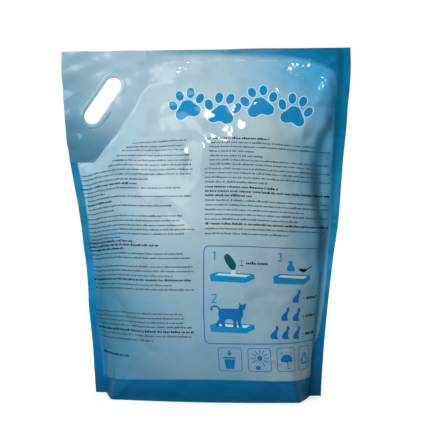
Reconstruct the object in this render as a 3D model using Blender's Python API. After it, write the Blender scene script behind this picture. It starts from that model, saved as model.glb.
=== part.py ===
"""A full bag of cat litter: a stand-up pouch of printed film, heat-sealed, built as the one solid that it is.

Metres, +Z up. The pouch stands on its bottom gusset at z = 0. The panel with the directions for use
faces -Y, and the carrying slot is in the top corner at -X. Film can't stretch, so each level section
of a panel is a curve of one fixed length, bent just enough to reach the pouch's depth and width there.
"""

import math

import bmesh
import bpy
import numpy as np
from mathutils import Matrix

# The pouch laid flat
FLAT_WIDTH = 0.350
FLAT_HEIGHT = 0.4275
SIDE_SEAL = 0.013
TOP_SEAL = 0.014
SEAL_THICKNESS = 0.0006

# The pouch filled and standing
BASE_WIDTH = 0.271
BASE_DEPTH = 0.122
BELLY_DEPTH = 0.142
BELLY_HEIGHT = 0.120
STRAIGHT_TAPER = 0.45
EAR_LIFT = 0.0005
SEAL_WAVE = 0.0014
SEAL_WAVE_LENGTH = 0.105
PUCKER_HEIGHT = 0.0012
PUCKER_LENGTH = 0.044
PUCKER_REACH = 0.024

# The pouch leans: below the weld it stands further from the slot's side, and its corners further still
LEAN = 0.0045
LEAN_FROM = 0.195
LEAN_TO = 0.300
CORNER_LEAN = 0.0035

# How a level section bends between its middle and its edges: in a fold at the base, and evenly higher up
CORNER_FROM_EDGE = 0.047
BULGE_SHARE = 0.20
FOLD_HALF_WIDTH = 0.005
ROUND_HALF_WIDTH = 0.100
ROUND_HEIGHT = 0.210

# The bottom gusset, seen from below
SKIRT_HEIGHT = 0.008
SKIRT_THICKNESS = 0.0010
TUCK_FROM_MIDDLE = 0.085
TUCK_RISE = 0.022
GUSSET_SLOPE = 0.8

# The carrying slot, and the corner that is welded flat round it
SLOT_LENGTH = 0.065
SLOT_WIDTH = 0.021
SLOT_TILT = math.radians(54.5)
SLOT_FROM_SIDE = 0.048
SLOT_FROM_TOP = 0.062
WELD_MARGIN = 0.023
WELD_REACH = 0.104
WELD_DROP = 0.139
WELD_EASING = 0.035
WELD_ROUNDING = 0.015
WELD_RELEASE = 0.012

# Mesh fineness
FLAT_COLUMNS = 11
CORNER_COLUMNS = 8
WALL_COLUMNS = 4
LOW_ROWS = 5
HIGH_ROWS = 35
SECTION_STEPS = 160
BISECTIONS = 22
GUSSET_ROWS = 8
SLOT_STEPS = 10

# Creases of the film as (across, up) at each end, half width and height; a negative height is a valley
PRINTED_CREASES = (
    ((0.158, 0.388), (0.128, 0.320), 0.012, -0.0040),
    ((0.128, 0.320), (0.140, 0.250), 0.010, -0.0025),
    ((0.082, 0.026), (0.110, 0.000), 0.009, 0.0020),
    ((-0.082, 0.026), (-0.110, 0.000), 0.009, 0.0020),
    ((0.104, 0.060), (0.132, 0.026), 0.010, 0.0030),
    ((-0.150, 0.285), (-0.100, 0.262), 0.012, -0.0022),
    ((-0.112, 0.120), (-0.060, 0.060), 0.016, -0.0020),
)
PLAIN_CREASES = (
    ((-0.150, 0.385), (-0.110, 0.305), 0.013, -0.0035),
    ((0.060, 0.388), (0.015, 0.335), 0.014, -0.0025),
    ((0.082, 0.026), (0.110, 0.000), 0.009, 0.0020),
    ((-0.082, 0.026), (-0.110, 0.000), 0.009, 0.0020),
    ((-0.106, 0.066), (-0.132, 0.028), 0.010, 0.0026),
    ((0.120, 0.200), (0.140, 0.120), 0.010, -0.0022),
)


def smoothstep(low, high, value):
    share = np.clip((value - low) / (high - low), 0.0, 1.0)
    return share * share * (3.0 - 2.0 * share)


def weld_direction():
    """The unit normal of the weld's slanting edge, in distances from the side and from the top."""
    return math.sin(SLOT_TILT), math.cos(SLOT_TILT)


def weld_line():
    """How far the slanting edge lies along its normal: past the slot's middle, its half width and a margin."""
    normal_side, normal_top = weld_direction()
    return normal_side * SLOT_FROM_SIDE + normal_top * SLOT_FROM_TOP + SLOT_WIDTH / 2 + WELD_MARGIN


def gap_to_weld(from_side, from_top):
    """How far a point of the flat film lies outside the welded corner, whose own corners are rounded."""
    normal_side, normal_top = weld_direction()
    past_edges = (
        from_side - WELD_REACH,
        from_top - WELD_DROP,
        normal_side * from_side + normal_top * from_top - weld_line(),
    )
    outside = sum(np.maximum(past + WELD_ROUNDING, 0.0) ** 3 for past in past_edges)
    return np.maximum(outside ** (1 / 3) - WELD_ROUNDING, 0.0)


def slot_side_seal(up):
    """Width of the flat strip on the slot's side at this height: the weld, easing into the side seal."""
    from_top = FLAT_HEIGHT - up
    normal_side, normal_top = weld_direction()
    slanting = (weld_line() - normal_top * from_top) / normal_side
    weld = min(WELD_REACH, max(slanting, SIDE_SEAL))
    still_weld = 1.0 - smoothstep(WELD_DROP - WELD_EASING, WELD_DROP + WELD_EASING / 3, from_top)
    return SIDE_SEAL + (weld - SIDE_SEAL) * still_weld


def half_depth(up):
    """Distance from the side seals' plane to the middle of a panel at this height of the flat film."""
    if up < BELLY_HEIGHT:
        share = up / BELLY_HEIGHT
        return (BASE_DEPTH + (BELLY_DEPTH - BASE_DEPTH) * math.sin(share * math.pi / 2)) / 2
    share = (FLAT_HEIGHT - TOP_SEAL - up) / (FLAT_HEIGHT - TOP_SEAL - BELLY_HEIGHT)
    share = max(share, 0.0)
    return BELLY_DEPTH / 2 * share * (2.0 - share)


def outer_width(up):
    """Width of the standing pouch over both side seals at this height: steepest half way up."""
    share = up / FLAT_HEIGHT
    taper = STRAIGHT_TAPER * share + (1.0 - STRAIGHT_TAPER) * smoothstep(0.0, 1.0, share)
    return BASE_WIDTH + (FLAT_WIDTH - BASE_WIDTH) * taper


def half_section(half_length, depth, fold, half_width):
    """Half of a section from its edge to its middle: steps sideways and outwards of equal film length.

    The film bends a little all along, and most of all over half_width on either side of fold, a distance
    from the middle, just enough to reach the depth.
    """
    step = half_length / SECTION_STEPS
    from_middle = half_length - (np.arange(SECTION_STEPS) + 0.5) * step
    folded = smoothstep(fold - half_width, fold + half_width, from_middle)
    least = smoothstep(fold - half_width, fold + half_width, 0.0)
    folded = (folded - least) / (folded[0] - least)
    bend = folded + BULGE_SHARE * (from_middle / half_length - folded)
    flattest, steepest = 0.0, math.pi * 0.55
    for _ in range(BISECTIONS):
        edge_angle = (flattest + steepest) / 2
        if np.sum(np.sin(edge_angle * bend)) * step < depth:
            flattest = edge_angle
        else:
            steepest = edge_angle
    return np.cos(edge_angle * bend) * step, np.sin(edge_angle * bend) * step


def section(up):
    """A level section of the loose film: places along it, sideways and outwards, from the slot's side.

    The nearer to the middle the film folds, the wider the section is, so the width settles the fold.
    """
    strip = slot_side_seal(up)
    length = FLAT_WIDTH - strip - SIDE_SEAL
    wanted = (outer_width(up) - strip - SIDE_SEAL) / 2
    half_width = FOLD_HALF_WIDTH + (ROUND_HALF_WIDTH - FOLD_HALF_WIDTH) * smoothstep(0.0, ROUND_HEIGHT, up)
    nearest, farthest = 0.0, length / 2
    for _ in range(BISECTIONS):
        fold = (nearest + farthest) / 2
        across, out = half_section(length / 2, half_depth(up), fold, half_width)
        if np.sum(across) < wanted:
            farthest = fold
        else:
            nearest = fold
    along = np.linspace(0.0, length, 2 * SECTION_STEPS + 1)
    sideways = np.concatenate([[0.0], np.cumsum(np.concatenate([across, across[::-1]]))])
    outwards = np.concatenate([[0.0], np.cumsum(np.concatenate([out, -out[::-1]]))])
    return along, sideways, outwards


def level(columns, up):
    """Sideways and outward places of the flat film's points at one height, before any crease."""
    along, sideways, outwards = section(up)
    strip, length = slot_side_seal(up), along[-1]
    whole = strip + sideways[-1] + SIDE_SEAL
    from_side = columns + FLAT_WIDTH / 2
    in_section = np.clip(from_side - strip, 0.0, length)
    past_section = np.clip(from_side - strip - length, 0.0, SIDE_SEAL)
    x = np.minimum(from_side, strip) + np.interp(in_section, along, sideways) + past_section
    outward = np.interp(in_section, along, outwards)
    release = 1.0 - np.exp(-gap_to_weld(from_side, FLAT_HEIGHT - up) / WELD_RELEASE)
    low = 1.0 - smoothstep(LEAN_FROM, LEAN_TO, up)
    near_base = 1.0 - smoothstep(0.0, BELLY_HEIGHT, up)
    lean = LEAN * low + CORNER_LEAN * near_base * outward / half_depth(0.0)
    return x - whole / 2 + lean, outward * release


def film_columns():
    """Places across the flat film, closer together where the pouch's corners stand."""
    fold = FLAT_WIDTH / 2 - SIDE_SEAL - CORNER_FROM_EDGE
    corner = 2 * FOLD_HALF_WIDTH
    middle = np.linspace(0.0, fold - corner, FLAT_COLUMNS + 1)
    folded = np.linspace(fold - corner, fold + corner, CORNER_COLUMNS + 1)[1:]
    wall = np.linspace(fold + corner, FLAT_WIDTH / 2 - SIDE_SEAL, WALL_COLUMNS + 1)[1:]
    half = np.concatenate([middle, folded, wall, [FLAT_WIDTH / 2]])
    return np.concatenate([-half[:0:-1], half])


def film_rows():
    """Places up the flat film, closer together at the base, where it folds, and at the top seal."""
    low_end = SKIRT_HEIGHT * 4
    low = np.linspace(0.0, low_end, LOW_ROWS)
    high = np.linspace(low_end, FLAT_HEIGHT - TOP_SEAL, HIGH_ROWS + 1)[1:]
    return np.concatenate([low, high, [FLAT_HEIGHT]])


def smooth_panel(columns, rows):
    """Places of the uncreased panel as two arrays of columns by rows: sideways and outwards."""
    x, outward = np.zeros((2, len(columns), len(rows)))
    for j, up in enumerate(rows):
        x[:, j], outward[:, j] = level(columns, up)
    return x, outward


def crease_height(across, up, creases):
    """Height that the creases add at each point: a crest that falls away evenly on both sides."""
    total = np.zeros(np.shape(across))
    for start, end, half_width, height in creases:
        run = np.subtract(end, start)
        share = ((across - start[0]) * run[0] + (up - start[1]) * run[1]) / (run @ run)
        share = np.clip(share, 0.0, 1.0)
        away = np.hypot(across - start[0] - share * run[0], up - start[1] - share * run[1])
        total += height * np.maximum(1.0 - away / half_width, 0.0) ** 1.5
    return total


def puckers(across, up):
    """Ripples beside the side seals, which are longer than the pouch stands high; they lean outwards."""
    from_seal = np.maximum(FLAT_WIDTH / 2 - SIDE_SEAL - np.abs(across), 0.0)
    return PUCKER_HEIGHT * np.exp(-from_seal / PUCKER_REACH) * np.sin(2 * math.pi * (up - from_seal) / PUCKER_LENGTH)


def film_heights(columns, rows, x, outward):
    """Height of each point over the ground: the column that bulges most sets it, and the others pucker."""
    runs = np.diff(x, axis=1) ** 2 + np.diff(outward, axis=1) ** 2
    least_rise = 0.3
    rises = np.diff(rows) * np.sqrt(np.maximum(1.0 - runs / np.diff(rows) ** 2, least_rise**2))
    heights = np.concatenate([np.zeros((len(columns), 1)), np.cumsum(rises, axis=1)], axis=1)
    top = np.min(heights[:, -1])
    foot = EAR_LIFT * smoothstep(FLAT_WIDTH / 2 - 2 * SIDE_SEAL, FLAT_WIDTH / 2, np.abs(columns))
    return foot[:, None] + heights * ((top - foot) / heights[:, -1])[:, None]


def make_panels(columns, rows):
    """The points of both panels, each an array of columns by rows by x, y, z."""
    x, outward = smooth_panel(columns, rows)
    across, up = np.meshgrid(columns, rows, indexing="ij")
    heights = film_heights(columns, rows, x, outward)
    in_seal = smoothstep(FLAT_WIDTH / 2 - 2 * SIDE_SEAL, FLAT_WIDTH / 2, np.abs(across))
    wave = SEAL_WAVE * in_seal * np.sin(2 * math.pi * up / SEAL_WAVE_LENGTH + across / SEAL_WAVE_LENGTH)
    loose = smoothstep(0.0, FOLD_HALF_WIDTH, outward)
    panels = []
    for facing, creases in ((-1, PRINTED_CREASES), (1, PLAIN_CREASES)):
        relief = puckers(across, up) + crease_height(across, up, creases)
        out = SEAL_THICKNESS / 2 + outward + relief * loose
        panels.append(np.stack([x, facing * out + wave, heights], axis=2))
    return panels


def outline_distance(point, outline):
    """Least distance from a point to the base's outline, both in the level plane."""
    starts, runs = outline[:-1], np.diff(outline, axis=0)
    share = np.sum((point - starts) * runs, axis=1) / np.maximum(np.sum(runs * runs, axis=1), 1e-12)
    share = np.clip(share, 0.0, 1.0)[:, None]
    return np.min(np.linalg.norm(point - starts - share * runs, axis=1))


def tuck_height(column):
    """Height at which the gusset film leaves the skirt: it is tucked up towards the side seals."""
    tuck_length = FLAT_WIDTH / 2 - SIDE_SEAL - TUCK_FROM_MIDDLE
    tuck = max(abs(column) - TUCK_FROM_MIDDLE, 0.0) / tuck_length
    return SKIRT_HEIGHT + TUCK_RISE * tuck**1.3


def skirt_inside(panel, i, height):
    """The point inside a panel's column at this height, one skirt's thickness from its outer face."""
    column = panel[i]
    point = np.array([np.interp(height, column[:, 2], column[:, axis]) for axis in range(3)])
    along_x, along_y = panel[i + 1, 0, :2] - panel[i - 1, 0, :2]
    inward = np.array([along_y, -along_x, 0.0]) / math.hypot(along_x, along_y)
    return point + SKIRT_THICKNESS * inward * math.copysign(1.0, point[1] * along_x)


def gusset_strip(columns, panels, outline, i):
    """The underside's points at one column, from the foot of the front skirt to the foot of the back one."""
    edge_height = tuck_height(columns[i])
    feet = [skirt_inside(panel, i, panel[i, 0, 2]) for panel in panels]
    start, end = [skirt_inside(panel, i, edge_height) for panel in panels]
    strip = [feet[0]]
    for share in (1 - np.cos(np.linspace(0.0, math.pi, GUSSET_ROWS + 1))) / 2:
        place = start + (end - start) * share
        place[2] = max(edge_height - GUSSET_SLOPE * outline_distance(place[:2], outline), 0.0)
        strip.append(place)
    return [*strip, feet[1]]


def close_base(mesh, columns, panels, front, back):
    """The underside between the two panels' bottom edges, which are given as rows of vertices."""
    outline = np.concatenate([panels[0][:, 0], panels[1][::-1, 0], panels[0][:1, 0]])[:, :2]
    first, final = 2, len(columns) - 3
    strips = {}
    for i in range(first, final + 1):
        inside = [mesh.verts.new(place) for place in gusset_strip(columns, panels, outline, i)]
        strips[i] = [front[i], *inside, back[i]]
    for i in range(first, final):
        for a, b, c, d in zip(strips[i], strips[i + 1], strips[i + 1][1:], strips[i][1:]):
            mesh.faces.new((a, b, c, d))
    for i, beyond in ((first, -1), (final, 1)):
        strip = strips[i]
        mesh.faces.new(strip[1:-1])
        mesh.faces.new((front[i + beyond], strip[0], strip[1], strip[-2], strip[-1], back[i + beyond]))
        mesh.faces.new((front[i + beyond], front[i + 2 * beyond], back[i + 2 * beyond], back[i + beyond]))


def make_pouch(columns, panels):
    """The closed solid: two panels, the seals between them, and the gusset below."""
    mesh = bmesh.new()
    front, back = [[[mesh.verts.new(point) for point in column] for column in panel] for panel in panels]
    last = len(front[0]) - 1
    for i in range(len(columns) - 1):
        for j in range(last):
            mesh.faces.new((front[i][j], front[i + 1][j], front[i + 1][j + 1], front[i][j + 1]))
            mesh.faces.new((back[i][j], back[i][j + 1], back[i + 1][j + 1], back[i + 1][j]))
        mesh.faces.new((front[i][last], front[i + 1][last], back[i + 1][last], back[i][last]))
    for i in (0, len(columns) - 1):
        for j in range(last):
            mesh.faces.new((front[i][j], front[i][j + 1], back[i][j + 1], back[i][j]))
    close_base(mesh, columns, panels, [column[0] for column in front], [column[0] for column in back])
    bmesh.ops.recalc_face_normals(mesh, faces=mesh.faces[:])
    data = bpy.data.meshes.new("pouch")
    mesh.to_mesh(data)
    mesh.free()
    return data


def slot_outline():
    """The slot's rim in its own plane: two half rounds joined by straight sides."""
    radius, half_straight = SLOT_WIDTH / 2, (SLOT_LENGTH - SLOT_WIDTH) / 2
    rim = []
    for end in (1, -1):
        for angle in np.linspace(-math.pi / 2, math.pi / 2, SLOT_STEPS + 1):
            rim.append((end * (half_straight + radius * math.cos(angle)), end * radius * math.sin(angle)))
    return rim


def make_slot_cutter(rows, heights):
    """A bar as wide and long as the slot, at the place where the flat film's slot comes to stand."""
    up = FLAT_HEIGHT - SLOT_FROM_TOP
    x, _ = level(np.array([SLOT_FROM_SIDE - FLAT_WIDTH / 2]), up)
    mesh = bmesh.new()
    lid = mesh.faces.new([mesh.verts.new((along, -BASE_DEPTH / 4, aside)) for along, aside in slot_outline()])
    pushed = bmesh.ops.extrude_face_region(mesh, geom=[lid])
    far = [item for item in pushed["geom"] if isinstance(item, bmesh.types.BMVert)]
    bmesh.ops.translate(mesh, verts=far, vec=(0.0, BASE_DEPTH / 2, 0.0))
    bmesh.ops.recalc_face_normals(mesh, faces=mesh.faces[:])
    data = bpy.data.meshes.new("slot_cutter")
    mesh.to_mesh(data)
    mesh.free()
    cutter = bpy.data.objects.new("slot_cutter", data)
    place = Matrix.Translation((x[0], 0.0, np.interp(up, rows, heights)))
    cutter.matrix_world = place @ Matrix.Rotation(-SLOT_TILT, 4, "Y")
    cutter.hide_render = True
    cutter.display_type = "WIRE"
    bpy.context.scene.collection.objects.link(cutter)
    return cutter


def film_material():
    """Printed laminate: pale silver-blue, smooth and slightly metallic."""
    material = bpy.data.materials.new("pouch_film")
    material.use_nodes = True
    shader = material.node_tree.nodes["Principled BSDF"]
    shader.inputs["Base Color"].default_value = (0.36, 0.56, 0.68, 1.0)
    shader.inputs["Roughness"].default_value = 0.3
    shader.inputs["Metallic"].default_value = 0.1
    return material


def main():
    for thing in list(bpy.data.objects):
        bpy.data.objects.remove(thing)
    columns, rows = film_columns(), film_rows()
    panels = make_panels(columns, rows)
    pouch = bpy.data.objects.new("pouch", make_pouch(columns, panels))
    bpy.context.scene.collection.objects.link(pouch)
    pouch.data.materials.append(film_material())
    pouch.data.shade_smooth()
    pouch.data.set_sharp_from_angle(angle=math.radians(50))
    cut = pouch.modifiers.new("carrying_slot", "BOOLEAN")
    cut.operation = "DIFFERENCE"
    cut.solver = "EXACT"
    cut.object = make_slot_cutter(rows, panels[0][0, :, 2])


main()
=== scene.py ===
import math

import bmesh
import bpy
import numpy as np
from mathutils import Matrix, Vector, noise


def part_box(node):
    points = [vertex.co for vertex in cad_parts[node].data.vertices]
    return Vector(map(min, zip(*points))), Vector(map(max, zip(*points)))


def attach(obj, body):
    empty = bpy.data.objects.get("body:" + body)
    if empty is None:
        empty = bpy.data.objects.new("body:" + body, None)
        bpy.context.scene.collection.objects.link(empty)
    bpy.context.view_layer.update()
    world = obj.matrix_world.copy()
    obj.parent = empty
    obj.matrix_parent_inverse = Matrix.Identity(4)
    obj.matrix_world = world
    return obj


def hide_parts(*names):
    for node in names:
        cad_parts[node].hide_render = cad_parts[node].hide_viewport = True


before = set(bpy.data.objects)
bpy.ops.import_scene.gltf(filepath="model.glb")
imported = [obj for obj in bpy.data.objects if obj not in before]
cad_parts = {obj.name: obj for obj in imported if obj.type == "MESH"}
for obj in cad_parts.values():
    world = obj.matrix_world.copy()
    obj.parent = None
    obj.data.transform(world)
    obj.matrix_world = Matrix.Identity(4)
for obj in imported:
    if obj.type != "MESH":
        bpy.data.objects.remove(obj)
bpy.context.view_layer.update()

# %% [markdown]
# A full bag of cat litter, made of printed film.
# The real bag is a stand-up pouch: two panels of glossy laminate are heat-sealed to each other at the
# sides and the top, and a strip of film folded in a W is sealed in at the bottom. Filled with granules,
# it opens there into an oval base and stands. We build it in five steps: the film's form, its small
# wrinkles, the finishes, the print, and the studio.
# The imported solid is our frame. It gives the outer size, and everything we add stays within a few
# millimetres of its box.

low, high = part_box("pouch")
print("the packed pouch in mm:", [round(1000 * side, 1) for side in high - low])

# %% [markdown]
# The pouch laid flat.
# Print, seals and slot are made while the film is flat, so we describe them in flat coordinates: across,
# from the middle of the film, and up, from its bottom edge. The width is the solid's own width, because
# the flat top seal isn't drawn in. The film is a little longer than the pouch stands high.

# %% Flat sizes in metres
FLAT_WIDTH = high.x - low.x
FLAT_HEIGHT = 0.4275
SIDE_SEAL = 0.013
TOP_SEAL = 0.014
FILM_GAP = 0.0006
print("flat film in mm:", round(1000 * FLAT_WIDTH, 1), "by", round(1000 * FLAT_HEIGHT, 1))

# %% [markdown]
# Why the sides draw in.
# Film bends but it can't stretch. Each level section of a panel is therefore a curve of one fixed length:
# the more it bulges, the closer the side seals come to each other. We could sculpt the form by eye, but
# then the film would look like rubber. Instead we state how deep and how wide the pouch is at each
# height, and let the computer find how the film bends to reach both.

# %% How deep and how wide the standing pouch is
BASE_WIDTH = 0.271
BASE_DEPTH = 0.122
BELLY_DEPTH = 0.142
BELLY_HEIGHT = 0.120
STRAIGHT_TAPER = 0.45


def smoothstep(start, end, value):
    """0 before start, 1 after end, and a soft ramp between them."""
    share = np.clip((value - start) / (end - start), 0.0, 1.0)
    return share * share * (3.0 - 2.0 * share)


def half_depth(up):
    """Distance from the side seals' plane to the middle of a panel."""
    if up < BELLY_HEIGHT:
        share = up / BELLY_HEIGHT
        return (BASE_DEPTH + (BELLY_DEPTH - BASE_DEPTH) * math.sin(share * math.pi / 2)) / 2
    share = (FLAT_HEIGHT - TOP_SEAL - up) / (FLAT_HEIGHT - TOP_SEAL - BELLY_HEIGHT)
    share = max(share, 0.0)
    return BELLY_DEPTH / 2 * share * (2.0 - share)


def outer_width(up):
    """Width over both side seals: steepest half way up."""
    share = up / FLAT_HEIGHT
    taper = STRAIGHT_TAPER * share + (1.0 - STRAIGHT_TAPER) * smoothstep(0.0, 1.0, share)
    return BASE_WIDTH + (FLAT_WIDTH - BASE_WIDTH) * taper


belly_depth, belly_width = 2000 * half_depth(BELLY_HEIGHT), 1000 * outer_width(BELLY_HEIGHT)
print("belly in mm:", round(belly_depth), "deep,", round(belly_width), "wide")

# %% [markdown]
# The welded corner.
# Round the carrying slot both films are welded into one flat plate, so that the slot doesn't tear out.
# The plate ends in a slanting edge beside the slot. Above it the loose film starts further in.

# %% The slot and the edge of its weld
SLOT_LENGTH = 0.065
SLOT_WIDTH = 0.021
SLOT_TILT = math.radians(54.5)
SLOT_FROM_SIDE = 0.048
SLOT_FROM_TOP = 0.062
WELD_MARGIN = 0.023
WELD_REACH = 0.104
WELD_DROP = 0.139
WELD_EASING = 0.035
WELD_ROUNDING = 0.015
WELD_RELEASE = 0.012
NORMAL_SIDE, NORMAL_TOP = math.sin(SLOT_TILT), math.cos(SLOT_TILT)
WELD_LINE = NORMAL_SIDE * SLOT_FROM_SIDE + NORMAL_TOP * SLOT_FROM_TOP + SLOT_WIDTH / 2 + WELD_MARGIN


def gap_to_weld(from_side, from_top):
    """How far a point of the flat film lies outside the welded corner."""
    past_edges = (
        from_side - WELD_REACH,
        from_top - WELD_DROP,
        NORMAL_SIDE * from_side + NORMAL_TOP * from_top - WELD_LINE,
    )
    outside = sum(np.maximum(past + WELD_ROUNDING, 0.0) ** 3 for past in past_edges)
    return np.maximum(outside ** (1 / 3) - WELD_ROUNDING, 0.0)


def slot_side_seal(up):
    """Width of the flat strip on the slot's side: the weld, easing into the side seal."""
    from_top = FLAT_HEIGHT - up
    slanting = (WELD_LINE - NORMAL_TOP * from_top) / NORMAL_SIDE
    weld = min(WELD_REACH, max(slanting, SIDE_SEAL))
    still_weld = 1.0 - smoothstep(WELD_DROP - WELD_EASING, WELD_DROP + WELD_EASING / 3, from_top)
    return SIDE_SEAL + (weld - SIDE_SEAL) * still_weld


print("the weld's slanting edge is", round(1000 * WELD_LINE), "mm from the top corner")

# %% [markdown]
# One level section.
# From its edge to its middle the film turns back by some angle. Near the base it turns in a sharp fold, a
# wall's width from the edge; higher up it turns evenly. Two simple searches by halving find the angle
# that reaches the depth, and the place of the fold that reaches the width.

# %% Bend one section to its depth and width
BULGE_SHARE = 0.20
FOLD_HALF_WIDTH = 0.005
ROUND_HALF_WIDTH = 0.100
ROUND_HEIGHT = 0.210
SECTION_STEPS = 160
HALVINGS = 22
STEEPEST_EDGE = math.pi * 0.55


def half_section(half_length, depth, fold, half_width):
    """Steps sideways and outwards from the edge to the middle."""
    step = half_length / SECTION_STEPS
    from_middle = half_length - (np.arange(SECTION_STEPS) + 0.5) * step
    folded = smoothstep(fold - half_width, fold + half_width, from_middle)
    least = smoothstep(fold - half_width, fold + half_width, 0.0)
    folded = (folded - least) / (folded[0] - least)
    bend = folded + BULGE_SHARE * (from_middle / half_length - folded)
    flattest, steepest = 0.0, STEEPEST_EDGE
    for _ in range(HALVINGS):
        edge_angle = (flattest + steepest) / 2
        if np.sum(np.sin(edge_angle * bend)) * step < depth:
            flattest = edge_angle
        else:
            steepest = edge_angle
    return np.cos(edge_angle * bend) * step, np.sin(edge_angle * bend) * step


def section(up):
    """Places along the loose film, and how far sideways and outwards each lies."""
    strip = slot_side_seal(up)
    length = FLAT_WIDTH - strip - SIDE_SEAL
    wanted = (outer_width(up) - strip - SIDE_SEAL) / 2
    half_width = FOLD_HALF_WIDTH + (ROUND_HALF_WIDTH - FOLD_HALF_WIDTH) * smoothstep(0.0, ROUND_HEIGHT, up)
    nearest, farthest = 0.0, length / 2
    for _ in range(HALVINGS):
        fold = (nearest + farthest) / 2
        across, out = half_section(length / 2, half_depth(up), fold, half_width)
        if np.sum(across) < wanted:
            farthest = fold
        else:
            nearest = fold
    along = np.linspace(0.0, length, 2 * SECTION_STEPS + 1)
    sideways = np.concatenate([[0.0], np.cumsum(np.concatenate([across, across[::-1]]))])
    outwards = np.concatenate([[0.0], np.cumsum(np.concatenate([out, -out[::-1]]))])
    return along, sideways, outwards


belly = section(BELLY_HEIGHT)
print("film", round(1000 * belly[0][-1]), "mm long spans", round(1000 * belly[1][-1]), "mm at the belly")

# %% [markdown]
# From sections to a panel.
# We lay a grid over the flat film, closer together where the corners stand, and place each of its points
# with the sections. The pouch leans a little away from the slot's stiff corner, as the real one does.
# Heights follow from the film's length too: the column that bulges most sets how high the pouch stands.

# %% Places of a smooth panel
LEAN = 0.0045
LEAN_FROM = 0.195
LEAN_TO = 0.300
CORNER_LEAN = 0.0035
CORNER_FROM_EDGE = 0.047
EAR_LIFT = 0.0005
LEAST_RISE = 0.3


def level(columns, up):
    """Sideways and outward places of the film's points at one height."""
    along, sideways, outwards = section(up)
    strip, length = slot_side_seal(up), along[-1]
    whole = strip + sideways[-1] + SIDE_SEAL
    from_side = columns + FLAT_WIDTH / 2
    in_section = np.clip(from_side - strip, 0.0, length)
    past_section = np.clip(from_side - strip - length, 0.0, SIDE_SEAL)
    x = np.minimum(from_side, strip) + np.interp(in_section, along, sideways) + past_section
    outward = np.interp(in_section, along, outwards)
    release = 1.0 - np.exp(-gap_to_weld(from_side, FLAT_HEIGHT - up) / WELD_RELEASE)
    low_down = 1.0 - smoothstep(LEAN_FROM, LEAN_TO, up)
    near_base = 1.0 - smoothstep(0.0, BELLY_HEIGHT, up)
    lean = LEAN * low_down + CORNER_LEAN * near_base * outward / half_depth(0.0)
    return x - whole / 2 + lean, outward * release


def film_heights(columns, rows, x, outward):
    """Height over the ground of each point of the panel."""
    runs = np.diff(x, axis=1) ** 2 + np.diff(outward, axis=1) ** 2
    rises = np.diff(rows) * np.sqrt(np.maximum(1.0 - runs / np.diff(rows) ** 2, LEAST_RISE**2))
    heights = np.concatenate([np.zeros((len(columns), 1)), np.cumsum(rises, axis=1)], axis=1)
    top = np.min(heights[:, -1])
    foot = EAR_LIFT * smoothstep(FLAT_WIDTH / 2 - 2 * SIDE_SEAL, FLAT_WIDTH / 2, np.abs(columns))
    return foot[:, None] + heights * ((top - foot) / heights[:, -1])[:, None]


# %% The grid over the flat film
MIDDLE_CELLS = 24
CORNER_CELLS = 9
WALL_CELLS = 8
SEAL_CELLS = 3
LOW_CELLS = 8
LOW_END = 0.032
HIGH_CELLS = 96
TOP_CELLS = 3


def grid_columns():
    """Places across the film, from seal to seal."""
    fold = FLAT_WIDTH / 2 - SIDE_SEAL - CORNER_FROM_EDGE
    corner = 2 * FOLD_HALF_WIDTH
    edge = FLAT_WIDTH / 2 - SIDE_SEAL
    middle = np.linspace(0.0, fold - corner, MIDDLE_CELLS + 1)
    folded = np.linspace(fold - corner, fold + corner, CORNER_CELLS + 1)[1:]
    wall = np.linspace(fold + corner, edge, WALL_CELLS + 1)[1:]
    seal = np.linspace(edge, FLAT_WIDTH / 2, SEAL_CELLS + 1)[1:]
    half = np.concatenate([middle, folded, wall, seal])
    return np.concatenate([-half[:0:-1], half])


def grid_rows():
    """Places up the film, from the bottom edge to the top."""
    high_end = FLAT_HEIGHT - TOP_SEAL
    lowest = np.linspace(0.0, LOW_END, LOW_CELLS + 1)
    middle = np.linspace(LOW_END, high_end, HIGH_CELLS + 1)[1:]
    return np.concatenate([lowest, middle, np.linspace(high_end, FLAT_HEIGHT, TOP_CELLS + 1)[1:]])


columns, rows = grid_columns(), grid_rows()
across_grid, up_grid = np.meshgrid(columns, rows, indexing="ij")
smooth_x, smooth_out = np.zeros((2, len(columns), len(rows)))
for j, up in enumerate(rows):
    smooth_x[:, j], smooth_out[:, j] = level(columns, up)
smooth_z = film_heights(columns, rows, smooth_x, smooth_out)
print("grid:", len(columns), "by", len(rows), "points")
print("the film stands", round(1000 * smooth_z.max(), 1), "mm high")

# %% [markdown]
# Folds you can see from a step away.
# The photograph shows a long soft fold beside the upper seal, one below the weld's lower corner, and
# sharp ridges at the standing corners. We add each as a crest or a valley between two points of the flat
# film. The side seals also pucker: they are longer than the pouch stands high.

# %% Creases, puckers and the wave of the seals
PUCKER_HEIGHT = 0.0012
PUCKER_LENGTH = 0.044
PUCKER_REACH = 0.024
SEAL_WAVE = 0.0014
SEAL_WAVE_LENGTH = 0.105
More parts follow.
